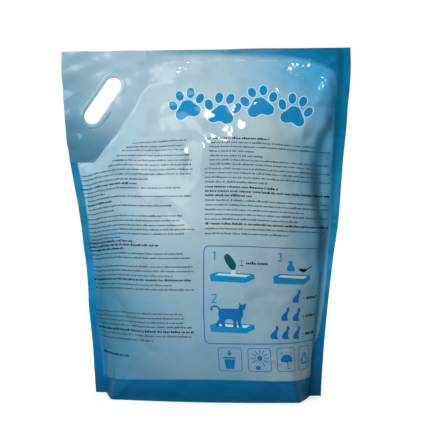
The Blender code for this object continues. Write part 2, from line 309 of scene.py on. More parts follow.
# start, end, half width, height
PRINTED_CREASES = (
    ((0.152, 0.392), (0.122, 0.322), 0.014, 0.0030),
    ((0.122, 0.322), (0.120, 0.250), 0.012, 0.0022),
    ((0.146, 0.318), (0.147, 0.235), 0.010, -0.0025),
    ((0.082, 0.026), (0.110, 0.000), 0.009, 0.0020),
    ((-0.082, 0.026), (-0.110, 0.000), 0.009, 0.0020),
    ((0.104, 0.060), (0.132, 0.026), 0.010, 0.0030),
    ((0.082, 0.052), (0.124, 0.030), 0.005, 0.0020),
    ((0.121, 0.092), (0.127, 0.032), 0.005, -0.0020),
    ((-0.150, 0.285), (-0.100, 0.262), 0.012, -0.0022),
    ((-0.112, 0.120), (-0.060, 0.060), 0.016, -0.0020),
)
PLAIN_CREASES = (
    ((-0.150, 0.385), (-0.110, 0.305), 0.013, -0.0035),
    ((0.060, 0.388), (0.015, 0.335), 0.014, -0.0025),
    ((0.082, 0.026), (0.110, 0.000), 0.009, 0.0020),
    ((-0.082, 0.026), (-0.110, 0.000), 0.009, 0.0020),
    ((-0.106, 0.066), (-0.132, 0.028), 0.010, 0.0026),
    ((0.120, 0.200), (0.140, 0.120), 0.010, -0.0022),
)


def crease_height(across, up, creases):
    """Height that the creases add at each point of the film."""
    total = np.zeros(np.shape(across))
    for start, end, half_width, height in creases:
        run = np.subtract(end, start)
        share = ((across - start[0]) * run[0] + (up - start[1]) * run[1]) / (run @ run)
        share = np.clip(share, 0.0, 1.0)
        away = np.hypot(across - start[0] - share * run[0], up - start[1] - share * run[1])
        total += height * np.maximum(1.0 - away / half_width, 0.0) ** 1.5
    return total


def puckers(across, up):
    """Ripples beside the side seals, which lean outwards."""
    from_seal = np.maximum(FLAT_WIDTH / 2 - SIDE_SEAL - np.abs(across), 0.0)
    ripple = np.sin(2 * math.pi * (up - from_seal) / PUCKER_LENGTH)
    return PUCKER_HEIGHT * np.exp(-from_seal / PUCKER_REACH) * ripple


def formed_panels(across, up, x, outward, z):
    """Both panels with their folds, each an array of columns by rows by x, y, z."""
    in_seal = smoothstep(FLAT_WIDTH / 2 - 2 * SIDE_SEAL, FLAT_WIDTH / 2, np.abs(across))
    wave = SEAL_WAVE * in_seal * np.sin(2 * math.pi * up / SEAL_WAVE_LENGTH + across / SEAL_WAVE_LENGTH)
    loose = smoothstep(0.0, FOLD_HALF_WIDTH, outward)
    formed = []
    for facing, creases in ((-1, PRINTED_CREASES), (1, PLAIN_CREASES)):
        relief = puckers(across, up) + crease_height(across, up, creases)
        out = FILM_GAP / 2 + outward + relief * loose
        formed.append(np.stack([x, facing * out + wave, z], axis=2))
    return formed


panels = formed_panels(across_grid, up_grid, smooth_x, smooth_out, smooth_z)
print("printed panel reaches y =", round(1000 * panels[0][:, :, 1].min(), 1), "mm")

# %% [markdown]
# Small wrinkles, by simulation. Real laminate never hangs as smooth as a formula. We give the panels to
# Blender's cloth solver as film that is a little too long for its place, most of all beside the side
# seals, where welding gathers it: the shrink settings below are negative, so that the film grows. The
# seals, the weld and the base are held still, and the granules' pressure pushes from inside, more weakly
# in the empty head of the pouch. The spare film buckles into the dents and puckers that we want.

# %% Helpers that make meshes and objects
def new_mesh(name, points, faces):
    """A mesh from its points and faces."""
    mesh = bpy.data.meshes.new(name)
    mesh.from_pydata(points, [], faces)
    return mesh


def add_object(name, data):
    """A new object in the scene that shows a mesh, a lamp or a camera."""
    made = bpy.data.objects.new(name, data)
    bpy.context.scene.collection.objects.link(made)
    return made


def panel_faces(wide, tall, start, turned):
    """Quads between the points of a grid, as rows of four point numbers."""
    corner = (np.arange(wide - 1)[:, None] * tall + np.arange(tall - 1)[None, :]).ravel() + start
    quads = np.stack([corner, corner + tall, corner + tall + 1, corner + 1], axis=1)
    return quads[:, ::-1].tolist() if turned else quads.tolist()


# %% Settle the film
HELD_FOOT = 0.006
GATHER_REACH = 0.034
HEAD_SLACK = 0.75
HEAD_FROM, HEAD_TO = 0.24, 0.36
SETTLE_FRAMES = 22
LARGEST_MOVE = 0.005
MOVE_SHARE = 0.7
START_NOISE = 0.0007
NOISE_SCALE = 38.0
START_SEEDS = (3.0, 8.0)
EDGE_SLACK = 1e-6
WELD_SLACK = 1e-5
CLOTH_SETTINGS = {
    "quality": 6,
    "mass": 0.12,
    "tension_stiffness": 60,
    "compression_stiffness": 60,
    "shear_stiffness": 30,
    "bending_stiffness": 1.2,
    "air_damping": 4,
    "shrink_min": -0.006,
    "shrink_max": -0.017,
    "vertex_group_shrink": "gather",
    "vertex_group_mass": "grip",
    "use_pressure": True,
    "uniform_pressure_force": 2.2,
    "vertex_group_pressure": "push",
}


def start_relief(across, up, seed):
    """Faint unevenness, so that the film has somewhere to start buckling."""
    points = np.stack([across.ravel() * NOISE_SCALE, up.ravel() * NOISE_SCALE], axis=1)
    values = [noise.fractal(Vector((x, z, seed)), 1.0, 2.0, 3) for x, z in points]
    return START_NOISE * np.array(values).reshape(across.shape)


def held(across, up):
    """1 where seals, weld or base hold the film, 0 where it is free."""
    gap = gap_to_weld(across + FLAT_WIDTH / 2, FLAT_HEIGHT - up)
    in_side_seal = np.abs(across) > FLAT_WIDTH / 2 - SIDE_SEAL - EDGE_SLACK
    in_top_seal = up > FLAT_HEIGHT - TOP_SEAL - EDGE_SLACK
    return (in_side_seal | in_top_seal | (gap < WELD_SLACK) | (up < HELD_FOOT)).astype(float)


def settle(panels):
    """Both panels after the cloth solver has run, as arrays like those that go in."""
    wide, tall = across_grid.shape
    holding = held(across_grid, up_grid)
    starts = []
    for panel, facing, seed in zip(panels, (-1, 1), START_SEEDS):
        start = panel.copy()
        start[:, :, 1] += facing * (1 - holding) * start_relief(across_grid, up_grid, seed)
        starts.append(start.reshape(-1, 3))
    points = np.concatenate(starts)
    faces = panel_faces(wide, tall, 0, False) + panel_faces(wide, tall, wide * tall, True)
    mesh = new_mesh("settling_film", points.tolist(), faces)
    film = add_object("settling_film", mesh)
    grip, push, gather = [film.vertex_groups.new(name=name) for name in ("grip", "push", "gather")]
    holding = np.tile(holding.ravel(), 2)
    pushing = np.tile(1.0 - HEAD_SLACK * smoothstep(HEAD_FROM, HEAD_TO, up_grid).ravel(), 2)
    from_seal = np.maximum(FLAT_WIDTH / 2 - SIDE_SEAL - np.abs(across_grid), 0.0)
    gathering = np.tile(np.exp(-from_seal / GATHER_REACH).ravel(), 2)
    for i in range(len(points)):
        grip.add([i], float(holding[i]), "REPLACE")
        push.add([i], float(pushing[i]), "REPLACE")
        gather.add([i], float(gathering[i]), "REPLACE")
    cloth = film.modifiers.new("cloth", "CLOTH")
    for name, value in CLOTH_SETTINGS.items():
        setattr(cloth.settings, name, value)
    cloth.settings.effector_weights.gravity = 0
    cloth.collision_settings.use_collision = False
    cloth.point_cache.frame_start = 1
    cloth.point_cache.frame_end = SETTLE_FRAMES
    for number in range(1, SETTLE_FRAMES + 1):
        bpy.context.scene.frame_set(number)
    shown = film.evaluated_get(bpy.context.evaluated_depsgraph_get())
    settled = np.zeros(len(points) * 3)
    shown.data.vertices.foreach_get("co", settled)
    bpy.context.scene.frame_set(1)
    bpy.data.objects.remove(film)
    bpy.data.meshes.remove(mesh)
    results = []
    for panel, part in zip(panels, np.split(settled.reshape(-1, 3), 2)):
        move = part.reshape(panel.shape) - panel
        size = np.linalg.norm(move, axis=2, keepdims=True)
        results.append(panel + MOVE_SHARE * move * np.minimum(1.0, LARGEST_MOVE / np.maximum(size, 1e-9)))
        most, usual = 1000 * float(size.max()), 1000 * float(size.mean())
        print("film moved at most", round(most, 1), "mm, on average", round(usual, 2))
    return results


settled_panels = settle(panels)

# %% [markdown]
# A finer surface.
# The cloth solver works on a coarse grid. We halve its cells with the old four-point rule, which passes a
# smooth curve through the points that we have, and keep the flat coordinates beside it.

# %% Halve the cells of a grid
def halve_cells(grid):
    """A grid with one new line of points half way between each pair of lines, along its first axis."""
    padded = np.concatenate([2 * grid[:1] - grid[1:2], grid, 2 * grid[-1:] - grid[-2:-1]])
    between = (9 * (padded[1:-2] + padded[2:-1]) - padded[:-3] - padded[3:]) / 16
    finer = np.zeros((2 * len(grid) - 1, *grid.shape[1:]))
    finer[::2] = grid
    finer[1::2] = between
    return finer


def refine(grid):
    """The grid twice as fine both ways."""
    return halve_cells(halve_cells(grid).swapaxes(0, 1)).swapaxes(0, 1)


fine_panels = [refine(panel) for panel in settled_panels]
fine_columns = halve_cells(columns)
fine_rows = halve_cells(rows)
fine_across, fine_up = np.meshgrid(fine_columns, fine_rows, indexing="ij")
print("fine grid:", fine_across.shape)

# %% [markdown]
# Uneven sides.
# The rule for the level sections gives a smooth, even line to both sides. A filled pouch stands a little
# wider here and there. We move the outer part of the film sideways, by little more than two millimetres,
# with a curve of the height for each side, which is simpler than a rule with more terms.

# %% Move the sides
# height on the flat film, shift outwards
LEFT_SHIFT = (
    (0.0, 0.0010), (0.04, 0.0022), (0.10, 0.0022), (0.14, 0.0004), (0.24, 0.0),
    (0.30, 0.0014), (0.35, 0.0018), (0.39, 0.0008), (0.4275, 0.0),
)
RIGHT_SHIFT = (
    (0.0, 0.0), (0.17, 0.0), (0.22, 0.0014), (0.27, 0.0022), (0.33, 0.0022),
    (0.38, 0.0010), (0.4275, 0.0),
)
SHIFT_FROM = 0.10
SHIFT_TO = 0.17


def side_shift(across, up):
    """How far a point of the film moves sideways."""
    left = np.interp(up, *np.transpose(LEFT_SHIFT)) * smoothstep(SHIFT_FROM, SHIFT_TO, -across)
    right = np.interp(up, *np.transpose(RIGHT_SHIFT)) * smoothstep(SHIFT_FROM, SHIFT_TO, across)
    return right - left


for panel in fine_panels:
    panel[:, :, 0] += side_shift(fine_across, fine_up)
print("sides moved by up to", round(1000 * float(np.abs(side_shift(fine_across, fine_up)).max()), 1), "mm")

# %% [markdown]
# Crumpled film.
# Handling leaves flat little facets between sharp straight creases, which no pouch loses again. A cloth
# solver rounds them off, so we add them afterwards: three sets of zigzag folds that cross each other,
# each bent a little by noise, strongest round the loose head of the pouch. The flat welded parts bend as
# a plate and have creases of their own. The loose film's dents stay near a millimetre and the plate's
# waves within a few, for they are there for the light.

# %% Add the dents
DENT_HEIGHT = 0.0011
DENT_SEEDS = (1.5, 6.5)
DENT_FADE = 0.02
FOOT_FADE = (0.01, 0.04)
LOW_SHARE = 0.5
HEAD_FADE = (0.18, 0.34)
# direction, length, share
CREASE_SETS = ((0.3, 0.047, 0.45), (1.5, 0.033, 0.33), (2.5, 0.023, 0.22))
CREASE_BEND = 0.8
BEND_SCALE = 9.0
CALM_SCALE = 13.0
CALM_SEED = 5.0
CALM_RANGE = (-0.35, 0.25)
CALM_SHARE = 0.3
PLATE_WAVE = 0.0034
PLATE_SCALE = 22.0
PLATE_SLANT = 0.6
PLATE_FADE = 0.016
PLATE_DENT = 0.0027
PLATE_SEED = 12.0
WAVE_SEEDS = (2.5, 9.5)
NARROWER = 2.5
NARROW_SHARE = 0.5
WAVE_FADE = (0.02, 0.10)


def noise_at(across, up, scale, seed):
    """Smooth noise over the flat film."""
    places = zip(across.ravel() * scale, up.ravel() * scale)
    return np.array([noise.noise(Vector((x, z, seed))) for x, z in places]).reshape(across.shape)


def dents(across, up, seed):
    """Facets between sharp creases, from -1 to 1, with calmer places among them."""
    bent = CREASE_BEND * noise_at(across, up, BEND_SCALE, seed)
    total = np.zeros(across.shape)
    for turn, length, share in CREASE_SETS:
        along = (across * math.cos(turn + seed) + up * math.sin(turn + seed)) / length + bent
        total += share * (2.0 * np.abs(2.0 * (along - np.floor(along)) - 1.0) - 1.0)
    lively = smoothstep(*CALM_RANGE, noise_at(across, up, CALM_SCALE, seed + CALM_SEED))
    return total * (CALM_SHARE + (1.0 - CALM_SHARE) * lively)


def panel_normals(panel, facing):
    """Outward directions at each point of a panel."""
    along_p, along_q = np.gradient(panel, axis=0), np.gradient(panel, axis=1)
    normals = np.cross(along_p, along_q) * -facing
    return normals / np.maximum(np.linalg.norm(normals, axis=2, keepdims=True), 1e-12)


def plate_wave(across, up):
    """How far the flat welded parts, both films together, bend back and forth."""
    gap = gap_to_weld(across + FLAT_WIDTH / 2, FLAT_HEIGHT - up)
    from_edge = np.minimum(FLAT_WIDTH / 2 - np.abs(across), FLAT_HEIGHT - up)
    in_plate = smoothstep(PLATE_FADE, 0.0, gap)
    welded = np.maximum(in_plate, smoothstep(TOP_SEAL + PLATE_FADE, TOP_SEAL / 2, from_edge))
    bent = noise_at(across + PLATE_SLANT * up, up, PLATE_SCALE, WAVE_SEEDS[0])
    bent += NARROW_SHARE * noise_at(across, up, NARROWER * PLATE_SCALE, WAVE_SEEDS[1])
    wave = PLATE_WAVE * bent + PLATE_DENT * in_plate * dents(across, up, PLATE_SEED)
    return wave * welded * smoothstep(*WAVE_FADE, up)


def dent(panel, facing, seed):
    """The panel with its small dents and with the waves of its welded parts."""
    from_side, from_top = FLAT_WIDTH / 2 - np.abs(fine_across), FLAT_HEIGHT - fine_up
    free = smoothstep(0.0, DENT_FADE, gap_to_weld(fine_across + FLAT_WIDTH / 2, from_top))
    free *= smoothstep(SIDE_SEAL, SIDE_SEAL + DENT_FADE, from_side)
    free *= smoothstep(TOP_SEAL, TOP_SEAL + DENT_FADE, from_top) * smoothstep(*FOOT_FADE, fine_up)
    strength = LOW_SHARE + (1.0 - LOW_SHARE) * smoothstep(*HEAD_FADE, fine_up)
    relief = DENT_HEIGHT * free * strength * dents(fine_across, fine_up, seed)
    dented = panel + relief[:, :, None] * panel_normals(panel, facing)
    dented[:, :, 1] += waves
    return dented


def keep_apart(front, back):
    """Moves both panels apart wherever they would touch or cross."""
    middle = (front[:, :, 1] + back[:, :, 1]) / 2
    half_gap = (back[:, :, 1] - front[:, :, 1]) / 2
    print("panels are moved apart at", int(np.sum(half_gap < FILM_GAP / 2 - 1e-6)), "points")
    half_gap = np.maximum(half_gap, FILM_GAP / 2)
    front[:, :, 1], back[:, :, 1] = middle - half_gap, middle + half_gap


waves = plate_wave(fine_across, fine_up)
final_panels = [dent(*each) for each in zip(fine_panels, (-1, 1), DENT_SEEDS)]
keep_apart(*final_panels)
film_normals = [panel_normals(panel, facing) for panel, facing in zip(final_panels, (-1, 1))]
print("dents of up to", 1000 * DENT_HEIGHT, "mm added to", final_panels[0].shape[:2], "points a side")

# %% [markdown]
# The gusset under the bag.
# The bottom strip of film is sealed to the inside of both panels along their lower edges, which stand on
# the ground as a narrow skirt. Inside it the strip lies on the ground, weighed down by the granules, and
# at both ends it is tucked up between the panels. We run a strip of points under each column of film.

# %% Points of the underside
SKIRT_HEIGHT = 0.008
SKIRT_THICKNESS = 0.0010
TUCK_FROM_MIDDLE = 0.085
TUCK_RISE = 0.022
TUCK_CURVE = 1.3
GUSSET_SLOPE = 0.8
GUSSET_ROWS = 16
GUSSET_START = 0.153


def tuck_height(column):
    """Height at which the gusset leaves the skirt: it is tucked up towards the side seals."""
    tuck = max(abs(column) - TUCK_FROM_MIDDLE, 0.0) / (FLAT_WIDTH / 2 - SIDE_SEAL - TUCK_FROM_MIDDLE)
    return SKIRT_HEIGHT + TUCK_RISE * tuck**TUCK_CURVE


def skirt_inside(panel, i, height):
    """The point inside a column of film at this height, one skirt's thickness from its outer face."""
    column = panel[i]
    point = np.array([np.interp(height, column[:, 2], column[:, axis]) for axis in range(3)])
    along_x, along_y = panel[i + 1, 0, :2] - panel[i - 1, 0, :2]
    inward = np.array([along_y, -along_x, 0.0]) / math.hypot(along_x, along_y)
    return point + SKIRT_THICKNESS * inward * math.copysign(1.0, point[1] * along_x)


def from_outline(point, outline):
    """Least distance from a point to the base's outline, both in the level plane."""
    starts, runs = outline[:-1], np.diff(outline, axis=0)
    share = np.sum((point - starts) * runs, axis=1) / np.maximum(np.sum(runs * runs, axis=1), 1e-12)
    share = np.clip(share, 0.0, 1.0)[:, None]
    return np.min(np.linalg.norm(point - starts - share * runs, axis=1))


def gusset_points(panels, outline, i):
    """Points from the foot of the front skirt to the foot of the back one, under one column."""
    edge_height = tuck_height(fine_columns[i])
    feet = [skirt_inside(panel, i, panel[i, 0, 2]) for panel in panels]
    start, end = [skirt_inside(panel, i, edge_height) for panel in panels]
    points = [feet[0]]
    for share in (1 - np.cos(np.linspace(0.0, math.pi, GUSSET_ROWS + 1))) / 2:
        place = start + (end - start) * share
        place[2] = max(edge_height - GUSSET_SLOPE * from_outline(place[:2], outline), 0.0)
        points.append(place)
    return [*points, feet[1]]


# %% [markdown]
# One closed piece of film.
# We join both panels at their outer edges and close them with the gusset. Each point keeps its flat
# coordinates as a UV map, so that the print can be painted on flat film and bends with it. A second map
# keeps the distance from the weld, whose edge shows as a line.

# %% Join the panels and the gusset into a mesh
def rim_faces(wide, tall):
    """Quads that join the two panels at their sides and along the top."""
    count = wide * tall
    side = np.arange(tall - 1)
    far = side + (wide - 1) * tall
    head = np.arange(wide - 1) * tall + tall - 1
    left = np.stack([side, side + 1, side + 1 + count, side + count], axis=1)
    right = np.stack([far + 1, far, far + count, far + 1 + count], axis=1)
    top = np.stack([head, head + tall, head + tall + count, head + count], axis=1)
    return [*left.tolist(), *right.tolist(), *top.tolist()]


def base_faces(points, flat, panels):
    """Adds the gusset's points to both lists and returns the faces of the underside."""
    wide, tall = panels[0].shape[:2]
    outline = np.concatenate([panels[0][:, 0], panels[1][::-1, 0], panels[0][:1, 0]])[:, :2]
    first = int(np.searchsorted(fine_columns, -GUSSET_START))
    final = wide - 1 - first
    strips, faces = {}, []
    for i in range(first, final + 1):
        inside = gusset_points(panels, outline, i)
        numbers = range(len(points), len(points) + len(inside))
        points.extend(inside)
        flat.extend([(fine_columns[i], 0.0)] * len(inside))
        strips[i] = [i * tall, *numbers, wide * tall + i * tall]
    for i in range(first, final):
        here, there = strips[i], strips[i + 1]
        faces.extend(zip(here, there, there[1:], here[1:]))
    for i in [*range(first - 1), *range(final + 1, wide - 1)]:
        faces.append((i * tall, (i + 1) * tall, (wide + i + 1) * tall, (wide + i) * tall))
    for i, beyond in ((first, -1), (final, 1)):
        strip, outer = strips[i], i + beyond
        faces.append(strip[1:-1])
        faces.append((outer * tall, strip[0], strip[1], strip[-2], strip[-1], (wide + outer) * tall))
    return faces


def paint_map(mesh, name, places):
    """Stores a pair of numbers for each point of a mesh as a UV map."""
    corners = np.zeros(len(mesh.loops), dtype=int)
    mesh.loops.foreach_get("vertex_index", corners)
    layer = mesh.uv_layers.new(name=name)
    layer.data.foreach_set("uv", np.asarray(places)[corners].ravel())


def weld_edge(from_side, from_top):
    """Distance from the weld's painted edge, below 0 inside it."""
    slanting = NORMAL_SIDE * from_side + NORMAL_TOP * from_top - WELD_LINE
    return np.maximum(np.maximum(from_side - WELD_REACH, from_top - WELD_DROP), slanting)


def face_outwards(mesh):
    """Turns all faces of a closed mesh outwards."""
    sorted_mesh = bmesh.new()
    sorted_mesh.from_mesh(mesh)
    bmesh.ops.recalc_face_normals(sorted_mesh, faces=sorted_mesh.faces[:])
    sorted_mesh.to_mesh(mesh)
    sorted_mesh.free()


def make_film():
    """The closed film as a new object."""
    wide, tall = final_panels[0].shape[:2]
    points = [*final_panels[0].reshape(-1, 3), *final_panels[1].reshape(-1, 3)]
    flat = [*zip(fine_across.ravel(), fine_up.ravel())] * 2
    faces = panel_faces(wide, tall, 0, False) + panel_faces(wide, tall, wide * tall, True)
    faces += rim_faces(wide, tall)
    faces += base_faces(points, flat, final_panels)
    mesh = new_mesh("pouch_film", np.array(points).tolist(), faces)
    flat = np.array(flat)
    gap = weld_edge(flat[:, 0] + FLAT_WIDTH / 2, FLAT_HEIGHT - flat[:, 1])
    paint_map(mesh, "flat", flat)
    paint_map(mesh, "weld", np.stack([gap, gap], axis=1))
    face_outwards(mesh)
    return add_object("pouch_film", mesh)


film = make_film()
print("film:", len(film.data.vertices), "points,", len(film.data.polygons), "faces")

# %% [markdown]
# Finding places on the standing bag.
# The print is drawn in flat coordinates. This helper says where a point of the flat film has gone, and
# lifts it off the surface by a hair, so that ink lies on the film and follows every dent.

# %% From flat film to the standing bag
def on_film(across, up, lift, side=0):
    """Places of flat points on the printed panel (side 0) or the plain one (side 1)."""
    i = np.clip(np.interp(across, fine_columns, np.arange(len(fine_columns))), 0, len(fine_columns) - 1.001)
    j = np.clip(np.interp(up, fine_rows, np.arange(len(fine_rows))), 0, len(fine_rows) - 1.001)
    left, below = i.astype(int), j.astype(int)
    over, above = (i - left)[:, None], (j - below)[:, None]

    def between(grid):
        """Values of a grid, mixed from the four points round each place."""
        lower = grid[left, below] * (1 - over) + grid[left + 1, below] * over
        upper = grid[left, below + 1] * (1 - over) + grid[left + 1, below + 1] * over
        return lower * (1 - above) + upper * above

    return between(final_panels[side]) + between(film_normals[side]) * np.asarray(lift)[..., None]


slot_across, slot_up = SLOT_FROM_SIDE - FLAT_WIDTH / 2, FLAT_HEIGHT - SLOT_FROM_TOP
slot_centre = on_film(np.array([slot_across]), np.array([slot_up]), np.zeros(1))[0]
slot_centre[2] = np.interp(slot_up, fine_rows, final_panels[0][0, :, 2])
print("the slot's middle stands at", [round(1000 * place, 1) for place in slot_centre], "mm")

# %% [markdown]
# The carrying slot.
# A punch cuts the slot through the welded corner. We cut it the same way, with a long bar of the slot's
# outline, and throw the bar away. Cutting keeps the UV maps, which a hand-made hole would need again.

# %% Punch the slot
SLOT_STEPS = 24
PUNCH_REACH = 0.03
SHARP_EDGE = math.radians(50)


def slot_outline(outset, steps):
    """Points of the slot's rim in its own plane, set out by some distance: half rounds and straights."""
    radius, half_straight = SLOT_WIDTH / 2 + outset, (SLOT_LENGTH - SLOT_WIDTH) / 2
    angles = np.linspace(-math.pi / 2, math.pi / 2, steps + 1)
    half = np.stack([half_straight + radius * np.cos(angles), radius * np.sin(angles)], axis=1)
    return np.concatenate([half, -half])


def in_the_weld(outline, y):
    """Points of an outline in the slot's plane, turned and moved to where the slot stands."""
    turn, lean = math.cos(SLOT_TILT), math.sin(SLOT_TILT)
    x = slot_centre[0] + turn * outline[:, 0] - lean * outline[:, 1]
    z = slot_centre[2] + lean * outline[:, 0] + turn * outline[:, 1]
    return np.stack([x, np.broadcast_to(y, x.shape), z], axis=1)


def punch_slot(film):
    """Cuts the slot through both films."""
    rim = slot_outline(0.0, SLOT_STEPS)
    count = len(rim)
    points = np.concatenate([in_the_weld(rim, PUNCH_REACH), in_the_weld(rim, -PUNCH_REACH)])
    walls = [(k, (k + 1) % count, (k + 1) % count + count, k + count) for k in range(count)]
    ends = [[*range(count)][::-1], [*range(count, 2 * count)]]
    bar_mesh = new_mesh("punch", points.tolist(), walls + ends)
    bar = add_object("punch", bar_mesh)
    cut = film.modifiers.new("slot", "BOOLEAN")
    cut.operation = "DIFFERENCE"
    cut.solver = "EXACT"
    cut.object = bar
    shown = film.evaluated_get(bpy.context.evaluated_depsgraph_get())
    cut_mesh = bpy.data.meshes.new_from_object(shown)
    film.modifiers.clear()
    film.data = cut_mesh
    bpy.data.objects.remove(bar)
    bpy.data.meshes.remove(bar_mesh)


punch_slot(film)
film.data.shade_smooth()
film.data.set_sharp_from_angle(angle=SHARP_EDGE)
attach(film, "root")
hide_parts("pouch")
print("film after the punch:", len(film.data.vertices), "points,", len(film.data.polygons), "faces")

# %% [markdown]
# The pressed rim of the slot.
# The welding tool presses the film round the slot into a soft raised rim, about six millimetres wide. It
# catches the light, so it is worth real geometry: we sweep a flat rounded profile round the slot.

# %% Sweep the rim
RIM_WIDTH = 0.0062
RIM_HEIGHT = 0.0008
RIM_STEPS = 8
RIM_START = 0.25
RIM_FULLNESS = 0.7
RIM_OVERLAP = 0.0001


def flat_place(x, z):
    """Flat coordinates of points in the weld, which the bag's form only shifts sideways."""
    i = int(np.argmin(np.abs(fine_columns - slot_across)))
    column = final_panels[0][i]
    up = np.interp(z, column[:, 2], fine_rows)
    shift = np.interp(up, fine_rows, column[:, 0]) - fine_columns[i]
    return np.stack([x - shift, up], axis=1)


def make_rim():
    """The slot's rim as a closed ring with a domed face on each side."""
    shares = np.linspace(0.0, 1.0, RIM_STEPS + 1)
    rings = [(share, -1) for share in shares] + [(share, 1) for share in shares[::-1]]
    points, flat = [], []
    for share, facing in rings:
        dome = math.sin(math.pi * min(RIM_START + (1.0 - RIM_START) * share, 1.0)) ** RIM_FULLNESS
        height = FILM_GAP / 2 + RIM_HEIGHT * dome if share < 1.0 else FILM_GAP / 4
        places = in_the_weld(slot_outline(RIM_WIDTH * share - RIM_OVERLAP, SLOT_STEPS), 0.0)
        flat_places = flat_place(places[:, 0], places[:, 2])
        places[:, 1] = on_film(flat_places[:, 0], flat_places[:, 1], np.zeros(len(places)))[:, 1]
        places[:, 1] += FILM_GAP / 2 + facing * height
        points.append(places)
        flat.append(flat_places)
    count = len(points[0])
    faces = []
    for ring in range(len(rings)):
        here, there = ring * count, (ring + 1) % len(rings) * count
        for k in range(count):
            after = (k + 1) % count
            faces.append((here + k, here + after, there + after, there + k))
    mesh = new_mesh("slot_rim", np.concatenate(points).tolist(), faces)
    paint_map(mesh, "flat", np.concatenate(flat))
    paint_map(mesh, "weld", np.full((len(mesh.vertices), 2), -RIM_WIDTH))
    face_outwards(mesh)
    mesh.shade_smooth()
    rim = add_object("slot_rim", mesh)
    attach(rim, "root")
    return rim


slot_rim = make_rim()
print("rim:", len(slot_rim.data.polygons), "faces")

# %% [markdown]
# Laminate.
# The film is a clear glossy layer over print over a whitish layer. In the shader the print is the base
# colour and the glossy layer is the coat. The print is a pale field inside a blue border: each of the
# field's four edges is a soft curve in flat coordinates. Its colour changes with the height, by a few
# stops for the middle and for each side. The stops are partly print and partly painted light: a painted
# sheen makes the upper film and the weld paler, painted shade darkens the lower film and the right side,
# and a painted sheen makes the border's head paler beside the slot. More shade is painted where the light
# alone doesn't give it: a stripe along the fold at the upper right, a line along the side seal and a bluer
# left flank, and painted light gives a paler right half of the belly. Faint clouds of tone lie over the
# field at random. A picture could hold all this too, but nodes stay sharp at any size.

# %% Small helpers for nodes
def colour(red, green, blue):
    """A screen colour of 0 to 255 as the linear colour that Blender works in."""
    parts = [part / 255 for part in (red, green, blue)]
    return tuple(p / 12.92 if p <= 0.04045 else ((p + 0.055) / 1.055) ** 2.4 for p in parts) + (1.0,)


class Nodes:
    """Adds nodes to a material and joins them up."""

    def __init__(self, material):
        """Keeps the node tree of a material or a world."""
        self.tree = material.node_tree

    def add(self, kind, *inputs, **settings):
        """A new node with its settings and its first inputs."""
        node = self.tree.nodes.new(kind)
        for name, value in settings.items():
            setattr(node, name, value)
        for number, value in enumerate(inputs):
            if value is not None:
                self.join(value, node.inputs[number])
        return node

    def join(self, value, socket):
        """Links an output to a socket, or writes a number or colour into it."""
        if isinstance(value, bpy.types.NodeSocket):
            self.tree.links.new(value, socket)
        else:
            socket.default_value = value

    def math(self, operation, *inputs):
        """The result of one sum on the inputs."""
        return self.add("ShaderNodeMath", *inputs, operation=operation).outputs[0]

    def ramp(self, value, start, end, low=0.0, high=1.0):
        """A soft ramp from low to high while the value goes from start to end."""
        node = self.add("ShaderNodeMapRange", value, start, end, low, high, interpolation_type="SMOOTHSTEP")
        return node.outputs[0]

    def curve(self, value, length, places):
        """A smooth curve through (place, value) pairs, both in the unit of length."""
        node = self.add("ShaderNodeFloatCurve")
        self.join(self.math("DIVIDE", value, length), node.inputs["Value"])
        node.inputs["Factor"].default_value = 1.0
        line = node.mapping.curves[0]
        ends = [(x / length, y / length) for x, y in places]
        line.points[0].location, line.points[1].location = ends[0], ends[-1]
        for x, y in ends[1:-1]:
            line.points.new(x, y)
        node.mapping.update()
        return self.math("MULTIPLY", node.outputs[0], length)

    def mix(self, share, first, second):
        """The first colour where the share is 0 and the second where it is 1."""
        node = self.add("ShaderNodeMix", data_type="RGBA")
        self.join(share, node.inputs["Factor"])
        self.join(first, node.inputs["A"])
        self.join(second, node.inputs["B"])
        return node.outputs["Result"]

    def fade(self, value, stops):
        """A colour that changes with value through (place, colour) stops."""
        node = self.add("ShaderNodeValToRGB", value)
        node.color_ramp.interpolation = "EASE"
        marks = node.color_ramp.elements
        marks[0].position, marks[0].color = stops[0]
        marks[1].position, marks[1].color = stops[-1]
        for place, tint in stops[1:-1]:
            marks.new(place).color = tint
        return node.outputs[0]

    def grain(self, vector, scale, detail, roughness=0.5):
        """Cloudy noise from 0 to 1."""
        node = self.add("ShaderNodeTexNoise")
        self.join(vector, node.inputs["Vector"])
        node.inputs["Scale"].default_value = scale
        node.inputs["Detail"].default_value = detail
        node.inputs["Roughness"].default_value = roughness
        return node.outputs[0]


# %% The glossy surface that film and ink share
COAT = 0.38
COAT_ROUGHNESS = 0.07
FILM_IOR = 1.48
FILM_SPECULAR = 0.07
FILM_ROUGHNESS = 0.34
ROUGHNESS_SPREAD = 0.06
CLOUDY_GRAIN = (18.0, 3.0, 0.6)
CLOUDY_RANGE = (0.3, 0.7)
BROAD_GRAIN = (55.0, 3.0, 0.55)
SMALL_GRAIN = (260.0, 2.0, 0.5)
SMALL_SHARE = 0.18
BUMP_STRENGTH = 0.24
BUMP_DISTANCE = 0.0012


